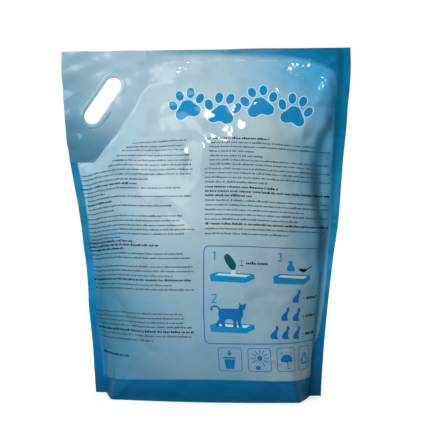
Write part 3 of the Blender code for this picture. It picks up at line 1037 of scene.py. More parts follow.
def laminate(name):
    """A new glossy material with the film's faint unevenness, its nodes and its shader."""
    material = bpy.data.materials.new(name)
    material.use_nodes = True
    nodes = Nodes(material)
    shader = material.node_tree.nodes["Principled BSDF"]
    shader.inputs["IOR"].default_value = FILM_IOR
    shader.inputs["Specular IOR Level"].default_value = FILM_SPECULAR
    shader.inputs["Coat Weight"].default_value = COAT
    shader.inputs["Coat Roughness"].default_value = COAT_ROUGHNESS
    place = nodes.add("ShaderNodeTexCoord").outputs["Object"]
    small = nodes.math("MULTIPLY", nodes.grain(place, *SMALL_GRAIN), SMALL_SHARE)
    height = nodes.math("ADD", nodes.grain(place, *BROAD_GRAIN), small)
    bump = nodes.add("ShaderNodeBump")
    bump.inputs["Strength"].default_value = BUMP_STRENGTH
    bump.inputs["Distance"].default_value = BUMP_DISTANCE
    nodes.join(height, bump.inputs["Height"])
    nodes.join(bump.outputs[0], shader.inputs["Normal"])
    least, most = FILM_ROUGHNESS - ROUGHNESS_SPREAD, FILM_ROUGHNESS + ROUGHNESS_SPREAD
    roughness = nodes.ramp(nodes.grain(place, *CLOUDY_GRAIN), *CLOUDY_RANGE, least, most)
    nodes.join(roughness, shader.inputs["Roughness"])
    return material, nodes, shader


# %% Edges of the pale field: place along the edge, width of the border there
BAND_SOFT = 0.0012
RIGHT_EDGE = (
    (0.0, 0.0124), (0.057, 0.0130), (0.078, 0.0080), (0.20, 0.0082), (0.303, 0.0136), (0.36, 0.0158),
    (0.4275, 0.0150),
)
LEFT_EDGE = (
    (0.0, 0.0091), (0.040, 0.0108), (0.075, 0.0086), (0.116, 0.0096), (0.20, 0.0090), (0.25, 0.0100),
    (0.29, 0.0088), (0.4275, 0.0070),
)
BOTTOM_EDGE = ((0.0, 0.0205), (0.176, 0.0280), (0.300, 0.0256), (0.350, 0.0250))
TOP_EDGE = (
    (0.0, 0.0090), (0.25, 0.0090), (0.29, 0.0134), (0.314, 0.0215), (0.330, 0.0290), (0.350, 0.0420),
)
TOP_SHARPNESS = 0.3
print("the border is", round(1000 * BOTTOM_EDGE[1][1], 1), "mm wide at the bottom")

# %% Tints of the printed film with painted sheen and shade: share of the height, or across for the head, and colour
# partly print and partly painted light: paler towards the top with a painted sheen, darker towards the
# bottom with painted shade
MIDDLE_TINTS_AND_SHADING = (
    (0.06, colour(122, 166, 190)), (0.12, colour(128, 172, 195)), (0.24, colour(142, 184, 205)),
    (0.38, colour(159, 192, 209)), (0.52, colour(180, 206, 216)), (0.66, colour(170, 196, 205)),
    (0.80, colour(181, 207, 215)), (1.0, colour(178, 206, 217)),
)
# partly print and partly painted light: paler towards the top with a painted sheen
LEFT_TINTS_AND_SHEEN = (
    (0.10, colour(48, 132, 174)), (0.26, colour(54, 132, 166)), (0.42, colour(96, 158, 186)),
    (0.55, colour(150, 192, 212)), (0.68, colour(166, 204, 222)), (1.0, colour(166, 198, 214)),
)
# partly print and partly painted shade: darker and bluer than the middle, where the film turns away from the
# key lamp
RIGHT_TINTS_AND_SHADE = (
    (0.10, colour(134, 172, 188)), (0.24, colour(112, 170, 194)), (0.38, colour(118, 184, 214)),
    (0.52, colour(100, 168, 198)), (0.66, colour(84, 162, 200)), (0.82, colour(108, 184, 224)),
    (1.0, colour(66, 162, 212)),
)
# partly print and partly painted shade: darker towards the bottom, where the bag faces down
BORDER_TINTS_AND_SHADE = (
    (0.0, colour(0, 98, 140)), (0.08, colour(0, 110, 162)), (0.16, colour(0, 122, 182)),
    (0.33, colour(8, 142, 200)), (0.55, colour(30, 138, 182)), (0.78, colour(0, 122, 166)),
    (1.0, colour(0, 124, 172)),
)
# blue print with a painted sheen: paler towards the slot's side
HEAD_TINTS_AND_SHEEN = (
    (0.30, colour(150, 188, 204)), (0.50, colour(104, 166, 196)), (0.68, colour(64, 150, 190)),
    (0.84, colour(0, 122, 172)), (1.0, colour(0, 120, 170)),
)
# grey-blue print, paler towards the top with a painted sheen
WELD_TINTS_AND_SHEEN = (
    (0.62, colour(66, 124, 154)), (0.76, colour(84, 140, 166)), (0.86, colour(124, 168, 190)),
    (1.0, colour(146, 186, 204)),
)
print("the field's middle has", len(MIDDLE_TINTS_AND_SHADING), "tints by height, the border", len(BORDER_TINTS_AND_SHADE))

# %% Where tints blend, the painted patches and lines of light and shade, and the clouds and streaks
# a painted sheen on the upper weld, away from the side
WELD_SHEEN = colour(170, 202, 216)
WELD_SHEEN_ACROSS = (0.0, 0.07)
WELD_SHEEN_HEIGHTS = (0.68, 0.85)
LEFT_REACH = (0.020, 0.150)
RIGHT_REACH = (0.018, 0.095)
HEAD_REACH = (0.010, 0.022)
CORNER_BLUE = colour(66, 166, 216)
CORNER_REACH = (0.03, 0.19)
CORNER_HEIGHTS = (0.74, 0.93)
CORNER_SHARE = 0.85
BELLY_PALE = colour(190, 208, 214)
# fades in from the side, out inwards, out upwards, share
BELLY_PATCH = ((0.02, 0.06), (0.07, 0.16), (0.30, 0.46), 0.25)
FLANK_BLUE = colour(60, 128, 162)
FLANK_PATCH = ((0.03, 0.06), (0.07, 0.17), (0.22, 0.36), 0.42)
CLOUD_BLUE = colour(70, 134, 166)
CLOUD_GRAIN = (24.0, 3.0)
CLOUD_RANGE = (0.46, 0.70)
CLOUD_SHARE = 0.16
FOLD_TINTS = (
    (0.38, colour(24, 72, 98)), (0.54, colour(32, 88, 116)), (0.70, colour(40, 110, 144)),
    (0.84, colour(6, 98, 138)),
)
FOLD_LINE = (
    (0.0, 0.015), (0.14, 0.016), (0.18, 0.019), (0.205, 0.023), (0.23, 0.030), (0.265, 0.035),
    (0.30, 0.034), (0.318, 0.028), (0.336, 0.021), (0.365, 0.016), (0.4275, 0.010),
)
FOLD_SHADE_WIDTH = 0.014
FOLD_HEIGHTS = (0.30, 0.44)
FOLD_SHARE = 0.85
SEAM_BLUE = colour(0, 82, 118)
SEAM_LINE = ((0.0, 0.0135), (0.20, 0.0115), (0.30, 0.0105), (0.4275, 0.0125))
SEAM_SHADE_WIDTH = 0.0065
SEAM_SHARE = 0.65
STREAK_STRETCH = (22.0, 60.0, 1.0)
STREAK_RANGE = (0.46, 0.66)
STREAK_SHARE = 0.30
print("the fold's shade is", round(2000 * FOLD_SHADE_WIDTH), "mm wide with its soft edges")


# %% The pale field
def shade_line(nodes, from_edge, up, line, half_width):
    """1 on a line that runs up the film, fading to 0 on both sides of it."""
    away = nodes.math("ABSOLUTE", nodes.math("SUBTRACT", from_edge, nodes.curve(up, FLAT_HEIGHT, line)))
    return nodes.ramp(away, 0.0, half_width, 1.0, 0.0)


def in_field(nodes, up, from_left, from_right, from_top):
    """1 on the pale field and 0 on the border round it."""
    inside = (
        nodes.math("SUBTRACT", from_right, nodes.curve(up, FLAT_HEIGHT, RIGHT_EDGE)),
        nodes.math("SUBTRACT", from_left, nodes.curve(up, FLAT_HEIGHT, LEFT_EDGE)),
        nodes.math("SUBTRACT", up, nodes.curve(from_left, FLAT_WIDTH, BOTTOM_EDGE)),
        nodes.math("SUBTRACT", from_top, nodes.curve(from_left, FLAT_WIDTH, TOP_EDGE)),
    )
    nearest = inside[0]
    for edge in (*inside[1:3], nodes.math("MULTIPLY", inside[3], TOP_SHARPNESS)):
        nearest = nodes.math("MINIMUM", nearest, edge)
    return nodes.ramp(nearest, -BAND_SOFT, BAND_SOFT)


def side_patch(nodes, height, from_edge, patch):
    """How much shows of a patch that begins near one side of the film and fades inwards and upwards."""
    start, reach, heights, share = patch
    across = nodes.math("MULTIPLY", nodes.ramp(from_edge, *start), nodes.ramp(from_edge, *reach, share, 0.0))
    return nodes.math("MULTIPLY", across, nodes.ramp(height, *heights, 1.0, 0.0))


def field_colour(nodes, flat, height, up, from_left, from_right):
    """Tints of the middle and the sides with their painted sheen and shade, the washes and painted patches
    over them, the clouds, and the painted shade in the fold.
    """
    pale = nodes.fade(height, MIDDLE_TINTS_AND_SHADING)
    pale = nodes.mix(nodes.ramp(from_left, *LEFT_REACH, 1.0, 0.0), pale, nodes.fade(height, LEFT_TINTS_AND_SHEEN))
    pale = nodes.mix(nodes.ramp(from_right, *RIGHT_REACH, 1.0, 0.0), pale, nodes.fade(height, RIGHT_TINTS_AND_SHADE))
    corner = nodes.ramp(from_right, *CORNER_REACH, CORNER_SHARE, 0.0)
    corner = nodes.math("MULTIPLY", corner, nodes.ramp(height, *CORNER_HEIGHTS))
    pale = nodes.mix(corner, pale, CORNER_BLUE)
    pale = nodes.mix(side_patch(nodes, height, from_right, BELLY_PATCH), pale, BELLY_PALE)
    pale = nodes.mix(side_patch(nodes, height, from_left, FLANK_PATCH), pale, FLANK_BLUE)
    clouds = nodes.ramp(nodes.grain(flat, *CLOUD_GRAIN), *CLOUD_RANGE, 0.0, CLOUD_SHARE)
    pale = nodes.mix(clouds, pale, CLOUD_BLUE)
    in_fold = shade_line(nodes, from_right, up, FOLD_LINE, FOLD_SHADE_WIDTH)
    in_fold = nodes.math("MULTIPLY", in_fold, nodes.ramp(height, *FOLD_HEIGHTS, 0.0, FOLD_SHARE))
    return nodes.mix(in_fold, pale, nodes.fade(height, FOLD_TINTS))


# %% The border, the weld, and the whole printed film
def border_colour(nodes, flat, height, from_left, from_top):
    """Tints of the border, darker towards the bottom with painted shade, and of its head along the top seal,
    paler beside the slot with a painted sheen, with fine darker streaks.
    """
    # the head's blue, paler beside the slot with a painted sheen
    head_tint_and_sheen = nodes.fade(nodes.math("DIVIDE", from_left, FLAT_WIDTH), HEAD_TINTS_AND_SHEEN)
    head = nodes.ramp(from_top, *HEAD_REACH, 1.0, 0.0)
    border = nodes.mix(head, nodes.fade(height, BORDER_TINTS_AND_SHADE), head_tint_and_sheen)
    stretched = nodes.add("ShaderNodeVectorMath", flat, STREAK_STRETCH, operation="MULTIPLY").outputs[0]
    dark = nodes.ramp(nodes.grain(stretched, 1.0, 2.0), *STREAK_RANGE, 0.0, STREAK_SHARE)
    return nodes.mix(dark, border, SEAM_BLUE)


def weld_colour(nodes, height, from_left):
    """Tints of the welded plate, paler towards its top and away from the side with a painted sheen."""
    across = nodes.ramp(from_left, *WELD_SHEEN_ACROSS)
    # the painted sheen on the upper weld
    paler = nodes.math("MULTIPLY", across, nodes.ramp(height, *WELD_SHEEN_HEIGHTS))
    return nodes.mix(paler, nodes.fade(height, WELD_TINTS_AND_SHEEN), WELD_SHEEN)


def printed_film():
    """Pale field, blue border and grey-blue weld, with painted sheen and shade in their tints."""
    material, nodes, shader = laminate("printed_film")
    flat = nodes.add("ShaderNodeUVMap", uv_map="flat").outputs[0]
    across, up, _ = nodes.add("ShaderNodeSeparateXYZ", flat).outputs
    from_left = nodes.math("ADD", across, FLAT_WIDTH / 2)
    from_right = nodes.math("SUBTRACT", FLAT_WIDTH / 2, across)
    from_top = nodes.math("SUBTRACT", FLAT_HEIGHT, up)
    height = nodes.math("DIVIDE", up, FLAT_HEIGHT)
    pale = field_colour(nodes, flat, height, up, from_left, from_right)
    border = border_colour(nodes, flat, height, from_left, from_top)
    print_colour = nodes.mix(in_field(nodes, up, from_left, from_right, from_top), border, pale)
    in_seam = shade_line(nodes, from_right, up, SEAM_LINE, SEAM_SHADE_WIDTH)
    print_colour = nodes.mix(nodes.math("MULTIPLY", in_seam, SEAM_SHARE), print_colour, SEAM_BLUE)
    weld_map = nodes.add("ShaderNodeUVMap", uv_map="weld").outputs[0]
    gap = nodes.add("ShaderNodeSeparateXYZ", weld_map).outputs[0]
    at_weld = nodes.ramp(gap, -BAND_SOFT / 2, BAND_SOFT / 2, 1.0, 0.0)
    film_colour = nodes.mix(at_weld, print_colour, weld_colour(nodes, height, from_left))
    nodes.join(film_colour, shader.inputs["Base Color"])
    return material


film_finish = printed_film()
for piece in (film, slot_rim):
    piece.data.materials.clear()
    piece.data.materials.append(film_finish)
print("film finish has", len(film_finish.node_tree.nodes), "nodes")

# %% [markdown]
# Ink on the film.
# Every printed shape is a thin closed piece of its own, laid on the finished film. We draw it in flat
# millimetres, cut it into small cells so that it can bend, except for the small print and the frame lines,
# and move each point to where the film has gone. Real ink lies under the gloss, so the inks share the
# film's glossy surface.

# %% From flat outlines to a piece of ink
INK_LIFT = 0.00014
LAYER_LIFT = 0.00010
INK_SINK = 0.00004
INK_CELL = 0.0018
INK_GRAIN = (120.0, 4.0, 0.6)
PALER = 1.12
LEAST_PALER = 0.004
MILLIMETRE = 0.001


def ink(name, tint):
    """Glossy ink of one colour, a little uneven as print on film is."""
    material, nodes, shader = laminate(name)
    place = nodes.add("ShaderNodeTexCoord").outputs["Object"]
    paler = tuple(part * PALER + LEAST_PALER for part in tint[:3]) + (1.0,)
    nodes.join(nodes.mix(nodes.grain(place, *INK_GRAIN), tint, paler), shader.inputs["Base Color"])
    return material


def cut_into_cells(flat):
    """Cuts flat faces along a square grid, so that they can follow the film."""
    bmesh.ops.triangulate(flat, faces=flat.faces[:])
    for axis in (0, 1):
        reach = [vertex.co[axis] for vertex in flat.verts]
        for place in np.arange(min(reach) + INK_CELL, max(reach), INK_CELL):
            point, direction = Vector((0, 0, 0)), Vector((0, 0, 0))
            point[axis], direction[axis] = place, 1.0
            everything = flat.verts[:] + flat.edges[:] + flat.faces[:]
            bmesh.ops.bisect_plane(flat, geom=everything, dist=1e-7, plane_co=point, plane_no=direction)


def lay_ink(name, outlines, finish, layer=0, side=0, cells=True):
    """A piece of ink from outlines in flat millimetres, on the printed side or the plain one."""
    flat = bmesh.new()
    for outline in outlines:
        flat.faces.new([flat.verts.new((x * MILLIMETRE, y * MILLIMETRE, 0.0)) for x, y in outline])
    bmesh.ops.remove_doubles(flat, verts=flat.verts[:], dist=1e-6)
    if cells:
        cut_into_cells(flat)
    pushed = bmesh.ops.extrude_face_region(flat, geom=flat.faces[:])
    for item in pushed["geom"]:
        if isinstance(item, bmesh.types.BMVert):
            item.co.z = MILLIMETRE
    bmesh.ops.recalc_face_normals(flat, faces=flat.faces[:])
    if side == 1:
        bmesh.ops.reverse_faces(flat, faces=flat.faces[:])
    mesh = bpy.data.meshes.new(name)
    flat.to_mesh(mesh)
    flat.free()
    places = np.zeros(3 * len(mesh.vertices))
    mesh.vertices.foreach_get("co", places)
    places = places.reshape(-1, 3)
    lift = np.where(places[:, 2] > MILLIMETRE / 2, INK_LIFT + layer * LAYER_LIFT, -INK_SINK)
    mesh.vertices.foreach_set("co", on_film(places[:, 0], places[:, 1], lift, side).ravel())
    mesh.update()
    mesh.shade_smooth()
    mesh.set_sharp_from_angle(angle=SHARP_EDGE)
    mesh.materials.append(finish)
    piece = add_object(name, mesh)
    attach(piece, "root")
    print(name, "has", len(mesh.polygons), "faces")
    return piece


# %% Outlines that we draw with
def bend(points, steps=5, closed=True):
    """A smooth line through the points."""
    points = np.array(points, float)
    count = len(points)
    ends = range(count if closed else count - 1)
    line = []
    for i in ends:
        if closed:
            a, b, c, d = (points[(i + k) % count] for k in (-1, 0, 1, 2))
        else:
            a, b, c, d = (points[min(max(i + k, 0), count - 1)] for k in (-1, 0, 1, 2))
        for t in np.arange(steps) / steps:
            square, cube = 2 * a - 5 * b + 4 * c - d, 3 * b - a - 3 * c + d
            line.append(0.5 * (2 * b + (c - a) * t + square * t**2 + cube * t**3))
    if not closed:
        line.append(points[-1])
    return np.array(line)


def stroke(path, width, closed=False):
    """Four-cornered outlines that together draw a line along a path."""
    path = np.array(path, float)
    if closed:
        ahead, behind = np.roll(path, -1, axis=0), np.roll(path, 1, axis=0)
        along = ahead - behind
    else:
        along = np.gradient(path, axis=0)
    along /= np.linalg.norm(along, axis=1, keepdims=True)
    aside = np.stack([-along[:, 1], along[:, 0]], axis=1) * width / 2
    left, right = path + aside, path - aside
    count = len(path)
    pairs = [(k, (k + 1) % count) for k in range(count if closed else count - 1)]
    return [(right[k], right[after], left[after], left[k]) for k, after in pairs]


def strokes(rows):
    """Outlines of several lines, each a path and its width."""
    return [part for path, width in rows for part in stroke(path, width)]


def straight(start, end, step=2.5):
    """Points along a straight line."""
    count = max(2, int(math.dist(start, end) / step) + 1)
    return np.linspace(start, end, count)


def arc(centre, radius, start, end, steps=10, high=None):
    """Points along a part of a circle or ellipse, from one angle in degrees to another."""
    angles = np.radians(np.linspace(start, end, steps + 1))
    return np.array(centre) + np.stack([radius * np.cos(angles), (high or radius) * np.sin(angles)], axis=1)


def round_box(left, bottom, right, top, radius):
    """Points round a box with rounded corners."""
    middle_x, middle_y = (left + right) / 2, (bottom + top) / 2
    rim = []
    for x, y, turn in ((right, top, 0), (left, top, 90), (left, bottom, 180), (right, bottom, 270)):
        inner = (x - math.copysign(radius, x - middle_x), y - math.copysign(radius, y - middle_y))
        rim.append(arc(inner, radius, turn, turn + 90, 5))
    rim = np.concatenate(rim)
    filled = [straight(a, b)[:-1] for a, b in zip(rim, np.roll(rim, -1, axis=0))]
    return np.concatenate(filled)


def placed(outline, left, bottom, wide, high=None):
    """An outline drawn in a unit box, moved and scaled to its place."""
    return np.array(outline, float) * (wide, high or wide) + (left, bottom)


def grown(outline, amount):
    """A closed outline set out by some distance."""
    outline = np.array(outline)
    along = np.roll(outline, -1, axis=0) - np.roll(outline, 1, axis=0)
    along /= np.linalg.norm(along, axis=1, keepdims=True)
    return outline + amount * np.stack([along[:, 1], -along[:, 0]], axis=1)


# %% [markdown]
# Paw prints.
# The widest blue print on the pouch, below its top seal, is a row of plain paw prints, each with a pale
# edge. A pad and four toes are smooth closed outlines, and the pale edge is the same outlines a little
# larger, laid just under the blue.

# %% Draw the paws
PAW_BLUE = colour(0, 136, 192)
PAW_EDGE = colour(196, 222, 236)
PAW_PAD = bend((
    (-0.17, -0.42), (0.0, -0.36), (0.17, -0.42), (0.31, -0.36), (0.33, -0.21), (0.22, -0.07), (0.12, 0.07),
    (0.0, 0.11), (-0.12, 0.07), (-0.22, -0.07), (-0.33, -0.21), (-0.31, -0.36),
))
# across, up, tilt in degrees
PAW_TOES = ((-0.37, 0.06, 24), (-0.15, 0.30, 8), (0.15, 0.30, -8), (0.37, 0.06, -24))
TOE_HALF_WIDTH = 0.105
TOE_HALF_HEIGHT = 0.155
PAW_EDGE_WIDTH = 1.1
# across, up, size, lean in degrees
PAWS = (
    (-17.0, 354.0, 45.0, 12.0),
    (26.0, 346.0, 45.0, -9.0),
    (69.0, 355.0, 45.0, 10.0),
    (111.0, 346.0, 43.0, -12.0),
)


def turned(outline, degrees):
    """An outline turned about the origin."""
    turn, lean = math.cos(math.radians(degrees)), math.sin(math.radians(degrees))
    return np.array(outline) @ np.array([[turn, lean], [-lean, turn]])


def paw(across, up, size, lean):
    """The outlines of one paw print: a pad and four toes."""
    toe = arc((0, 0), TOE_HALF_WIDTH, 0, 348, 23, high=TOE_HALF_HEIGHT)
    toes = [turned(toe, tilt) + (x, y) for x, y, tilt in PAW_TOES]
    return [turned(part, lean) * size + (across, up) for part in (PAW_PAD, *toes)]


paw_blue, paw_edge = ink("paw_blue", PAW_BLUE), ink("paw_edge", PAW_EDGE)
for side, face in ((0, "printed"), (1, "plain")):
    blobs = [blob for place in PAWS for blob in paw(*place)]
    lay_ink(f"paw_edges_{face}", [grown(blob, PAW_EDGE_WIDTH) for blob in blobs], paw_edge, 0, side)
    lay_ink(f"paw_prints_{face}", blobs, paw_blue, 1, side)

# %% [markdown]
# Lines of small print.
# At this distance print is only a grey rhythm of words. We draw each word as a row of small upright
# blocks, which no one can read, and keep the lines' lengths, spacing and weight. The left lines begin
# beside the weld's slanting edge.

# %% Lines of print: start, end, height over the bottom edge
LEFT_LINES = (
    (-84, -13, 306), (-92, -17, 299), (-96, -10, 294), (-103, -10, 287), (-109, -7, 281), (-116, -8, 275.5),
    (-164, -6, 270), (-165, -8, 264.5), (-167, -61, 258.5), (-166, -21, 248), (-167, -125, 243),
    (-161, -8, 238), (-163, -33, 227), (-165, -112, 221.5), (-166, -20, 215), (-167, -23, 209.5),
    (-167, -17, 204), (-166, -6, 199), (-166, -17, 194), (-166, -101, 189.5), (-167, -18, 171),
    (-166, -9, 166), (-166, -7, 156), (-165, -6, 151), (-165, -30, 145.5), (-165, -30, 135), (-165, -6, 130),
    (-166, -18, 102), (-167, -18, 97), (-167, -19, 92), (-166, -8, 87), (-165, -8, 76.5), (-165, -54, 71),
)
LEFT_BOLD = (
    (-168, -76, 253), (-163, -115, 232.5), (-167, -84, 185), (-167, -48, 180.5), (-167, -94, 176),
    (-166, -8, 140.5), (-165, -7, 81.5), (-158, -86, 52),
)
RIGHT_LINES = (
    (13, 141, 302), (13, 159, 297), (13, 66, 291.5), (14, 75, 286), (13, 156, 281), (13, 143, 276),
    (8, 161, 270.5), (8, 146, 265.5), (8, 162, 260), (7, 81, 254.5), (7, 162, 233), (7, 163, 227.5),
    (6, 126, 222), (6, 163, 216.5), (6, 117, 211), (6, 161, 200), (6, 106, 194.5),
)
RIGHT_BOLD = ((9, 82, 307), (7, 93, 248.5), (7, 163, 243.5), (7, 62, 238.5), (6, 164, 205.5))
print(len(LEFT_LINES + LEFT_BOLD + RIGHT_LINES + RIGHT_BOLD), "lines of print")

# %% Set the lines
PRINT_HEIGHT = 1.55
BOLD_HEIGHT = 1.9
PRINT_GREY = colour(62, 92, 106)
PRINT_DARK = colour(12, 28, 40)
WORD_BLOCKS = (2, 10)
BLOCK_WIDTHS = (0.28, 0.55, 0.62, 0.70, 0.95)
BLOCK_HEIGHTS = (1.0, 1.0, 1.0, 1.4)
BLOCK_SPACE = 0.30
WORD_SPACE = 0.55
PRINT_SEED = 12
drawn = np.random.default_rng(PRINT_SEED)


def line_of_print(start, end, up, height):
    """Outlines of the blocks in one line of words."""
    blocks, place = [], float(start)
    while place < end - 1.0:
        for _ in range(int(drawn.integers(*WORD_BLOCKS))):
            wide = height * drawn.choice(BLOCK_WIDTHS)
            tall = height * drawn.choice(BLOCK_HEIGHTS)
            if place + wide > end:
                break
            blocks.append(((place, up), (place + wide, up), (place + wide, up + tall), (place, up + tall)))
            place += wide + BLOCK_SPACE * height
        place += WORD_SPACE * height
    return blocks


print_grey, print_dark = ink("print_grey", PRINT_GREY), ink("print_dark", PRINT_DARK)
thin_blocks = [block for line in LEFT_LINES + RIGHT_LINES for block in line_of_print(*line, PRINT_HEIGHT)]
bold_blocks = [block for line in LEFT_BOLD + RIGHT_BOLD for block in line_of_print(*line, BOLD_HEIGHT)]
lay_ink("small_print", thin_blocks, print_grey, cells=False)
lay_ink("bold_print", bold_blocks, print_dark, cells=False)

# %% [markdown]
# The framed drawings.
# A thin blue frame holds three numbered drawings of how litter is used: pour it from the dark pack into
# a tray, let the cat use it, and scoop it. Rows of cats beside them stand for how long a bag lasts. They
# are flat figures of our own, drawn with a few points each.

# %% Outlines of the frames, trays, cats and packs
LINE_BLUE = colour(0, 116, 178)
TRAY_BLUE = colour(0, 140, 196)
PACK_TEAL = colour(0, 82, 104)
CAT_BLUE = colour(0, 110, 182)
LITTER_PALE = colour(206, 220, 228)
# left, bottom, right, top
FRAME = (5.0, 70.0, 164.0, 181.0)
FRAME_RADIUS = 6.0
FRAME_LINE = 1.0
SIGN_BOXES = (
    (19.5, 38.5, 45.6, 65.3),
    (53.0, 38.0, 78.9, 64.8),
    (86.4, 37.5, 113.0, 65.0),
    (121.0, 37.0, 147.0, 64.5),
)
SIGN_RADIUS = 3.0
SIGN_LINE = 0.7
# left, bottom, width
TRAYS = ((12.0, 139.5, 51.0), (11.5, 82.0, 51.0), (85.6, 138.0, 55.0))
TRAY_BODY = ((0.0, 0.175), (0.16, 0.235), (0.99, 0.20), (1.0, 0.10), (0.80, 0.0), (0.02, 0.03))
TRAY_INSIDE = ((0.12, 0.165), (0.20, 0.205), (0.90, 0.178), (0.80, 0.125))
SITTING_CAT = (
    (0.08, 0.02), (0.40, 0.0), (0.78, 0.0), (0.86, 0.04), (0.74, 0.10), (0.72, 0.30), (0.80, 0.46),
    (0.80, 0.60), (0.93, 0.65), (1.0, 0.73), (0.93, 0.82), (0.93, 1.0), (0.84, 0.88), (0.72, 0.97),
    (0.66, 0.82), (0.60, 0.66), (0.36, 0.52), (0.12, 0.36), (0.0, 0.16),
)
# left, bottom, width
SMALL_CATS = (
    (112.0, 117.0, 13.0), (95.4, 96.6, 12.0), (112.2, 95.5, 13.0), (80.2, 75.6, 11.0), (95.2, 75.2, 12.0),
    (112.0, 74.5, 13.0),
)
SITTING_HEIGHT = 16.0
STANDING_CAT = (
    (9.5, 19.0), (12.0, 21.2), (18.0, 21.6), (25.0, 21.6), (30.5, 21.4), (32.6, 23.2), (32.8, 28.2),
    (35.0, 26.2), (37.6, 26.2), (39.8, 28.2), (40.2, 24.0), (38.4, 20.6), (37.0, 19.2), (36.8, 14.0),
    (34.6, 9.4), (34.4, 4.0), (36.0, 0.6), (31.8, 0.6), (31.2, 5.0), (30.0, 8.8), (28.8, 4.0), (29.6, 0.6),
    (25.6, 0.6), (25.8, 5.6), (24.6, 9.0), (20.5, 9.6), (17.4, 9.0), (15.8, 4.6), (16.8, 0.6), (12.8, 0.6),
    (12.6, 4.6), (11.4, 5.4), (9.6, 3.4), (9.8, 0.6), (6.0, 0.6), (6.4, 4.6), (9.6, 9.6), (9.0, 14.0),
)
CAT_TAIL = ((10.6, 19.0), (9.6, 22.0), (6.6, 24.0), (2.8, 23.8), (0.8, 21.4), (1.8, 19.2))
CAT_STANDS = (12.6, 88.6)
TAIL_WIDTH = 1.7
POURED_PACK = (
    (28.0, 168.6), (31.4, 172.4), (36.2, 168.8), (41.6, 160.6), (40.4, 154.6), (36.4, 154.4), (31.0, 161.0),
)
POURED_STREAM = ((37.0, 154.0), (40.4, 153.8), (42.0, 148.6), (35.8, 148.8))
TIED_SACK = (
    (104.6, 154.4), (114.0, 154.0), (114.6, 158.6), (111.8, 162.0), (112.6, 165.6), (106.0, 165.8),
    (106.8, 162.0), (104.0, 159.0),
)
print("cats:", len(SMALL_CATS) + 1, "trays:", len(TRAYS))

# %% Lines of the numbers, the measure and the scoop: path, width
NUMBER_STROKES = (
    (bend(((15.0, 172.4), (17.0, 174.3), (17.6, 174.3)), 2, False), 0.9),
    (straight((17.6, 174.8), (17.6, 164.8)), 1.4),
    (arc((17.0, 124.0), 2.3, 165, -35), 1.3),
    (straight((18.9, 122.7), (14.9, 117.4)), 1.3),
    (straight((14.3, 116.9), (19.9, 116.9)), 1.2),
    (arc((93.7, 172.4), 2.1, 155, -85), 1.3),
    (arc((93.7, 167.6), 2.5, 85, -155), 1.3),
)
MEASURE_STROKES = (
    (straight((45.4, 164.6), (50.4, 164.6)), 0.5),
    (straight((45.4, 159.2), (50.4, 159.2)), 0.5),
    (straight((47.9, 159.4), (47.9, 164.4)), 0.5),
)
MEASURE_WORDS = (53.0, 79.0, 160.6, 2.2)
SCOOP = ((121.0, 156.5), (127.0, 152.8), (133.0, 154.0), (133.5, 156.4))
SCOOP_HANDLE = ((133.0, 156.0), (143.0, 159.6))
HANDLE_WIDTH = 1.1
CAT_LINES = ((129.0, 122.0), (129.5, 100.5), (130.5, 79.0))
DASH = (4.0, -0.2)
DASH_WIDTH = 0.8
WORDS_FROM, WORDS_TO, WORDS_DROP, WORDS_HEIGHT = 7.0, 30.0, 1.4, 3.0
print("the numbers take", len(NUMBER_STROKES), "strokes")


# %% Lay the frames and figures
def trays_and_numbers():
    """Trays, a tied sack and the numbers of the three drawings."""
    shapes = [placed(TRAY_BODY, left, bottom, wide) for left, bottom, wide in TRAYS]
    return [*shapes, bend(TIED_SACK, 3), *strokes(NUMBER_STROKES)]


def litter():
    """The pale litter in the trays, and the stream that is poured."""
    shapes = [placed(TRAY_INSIDE, left, bottom, wide) for left, bottom, wide in TRAYS]
    return [*shapes, POURED_STREAM]


def cats():
    """All the cats."""
    sitting = [placed(SITTING_CAT, left, bottom, wide, SITTING_HEIGHT) for left, bottom, wide in SMALL_CATS]
    shapes = [bend(cat, 3) for cat in (*sitting, np.array(STANDING_CAT) + CAT_STANDS)]
    return shapes + stroke(bend(np.array(CAT_TAIL) + CAT_STANDS, 4, False), TAIL_WIDTH)


def marks():
    """The measure, the scoop and the short lines beside the cats."""
    shapes = strokes(MEASURE_STROKES) + line_of_print(*MEASURE_WORDS)
    shapes.append(bend(SCOOP, 3))
    shapes += stroke(straight(*SCOOP_HANDLE), HANDLE_WIDTH)
    for left, up in CAT_LINES:
        shapes += stroke(straight((left, up), (left + DASH[0], up + DASH[1])), DASH_WIDTH)
        shapes += line_of_print(left + WORDS_FROM, left + WORDS_TO, up - WORDS_DROP, WORDS_HEIGHT)
    return shapes


frames = stroke(round_box(*FRAME, FRAME_RADIUS), FRAME_LINE, closed=True)
for box in SIGN_BOXES:
    frames += stroke(round_box(*box, SIGN_RADIUS), SIGN_LINE, closed=True)
line_blue = ink("line_blue", LINE_BLUE)
lay_ink("frame_lines", frames, line_blue, cells=False)
lay_ink("tray_drawings", trays_and_numbers(), ink("tray_blue", TRAY_BLUE))
lay_ink("pack_drawing", [bend(POURED_PACK, 4)], ink("pack_teal", PACK_TEAL))
lay_ink("litter_drawings", litter(), ink("litter_pale", LITTER_PALE), 1)
lay_ink("cat_drawings", cats(), ink("cat_blue", CAT_BLUE), 2)
lay_ink("measure_marks", marks(), print_dark)

# %% [markdown]
# The small signs under the frame.
# Four boxes hold handling signs. Ours are plain ones: a bin, a sun, an umbrella, and three arrows that
# chase each other.

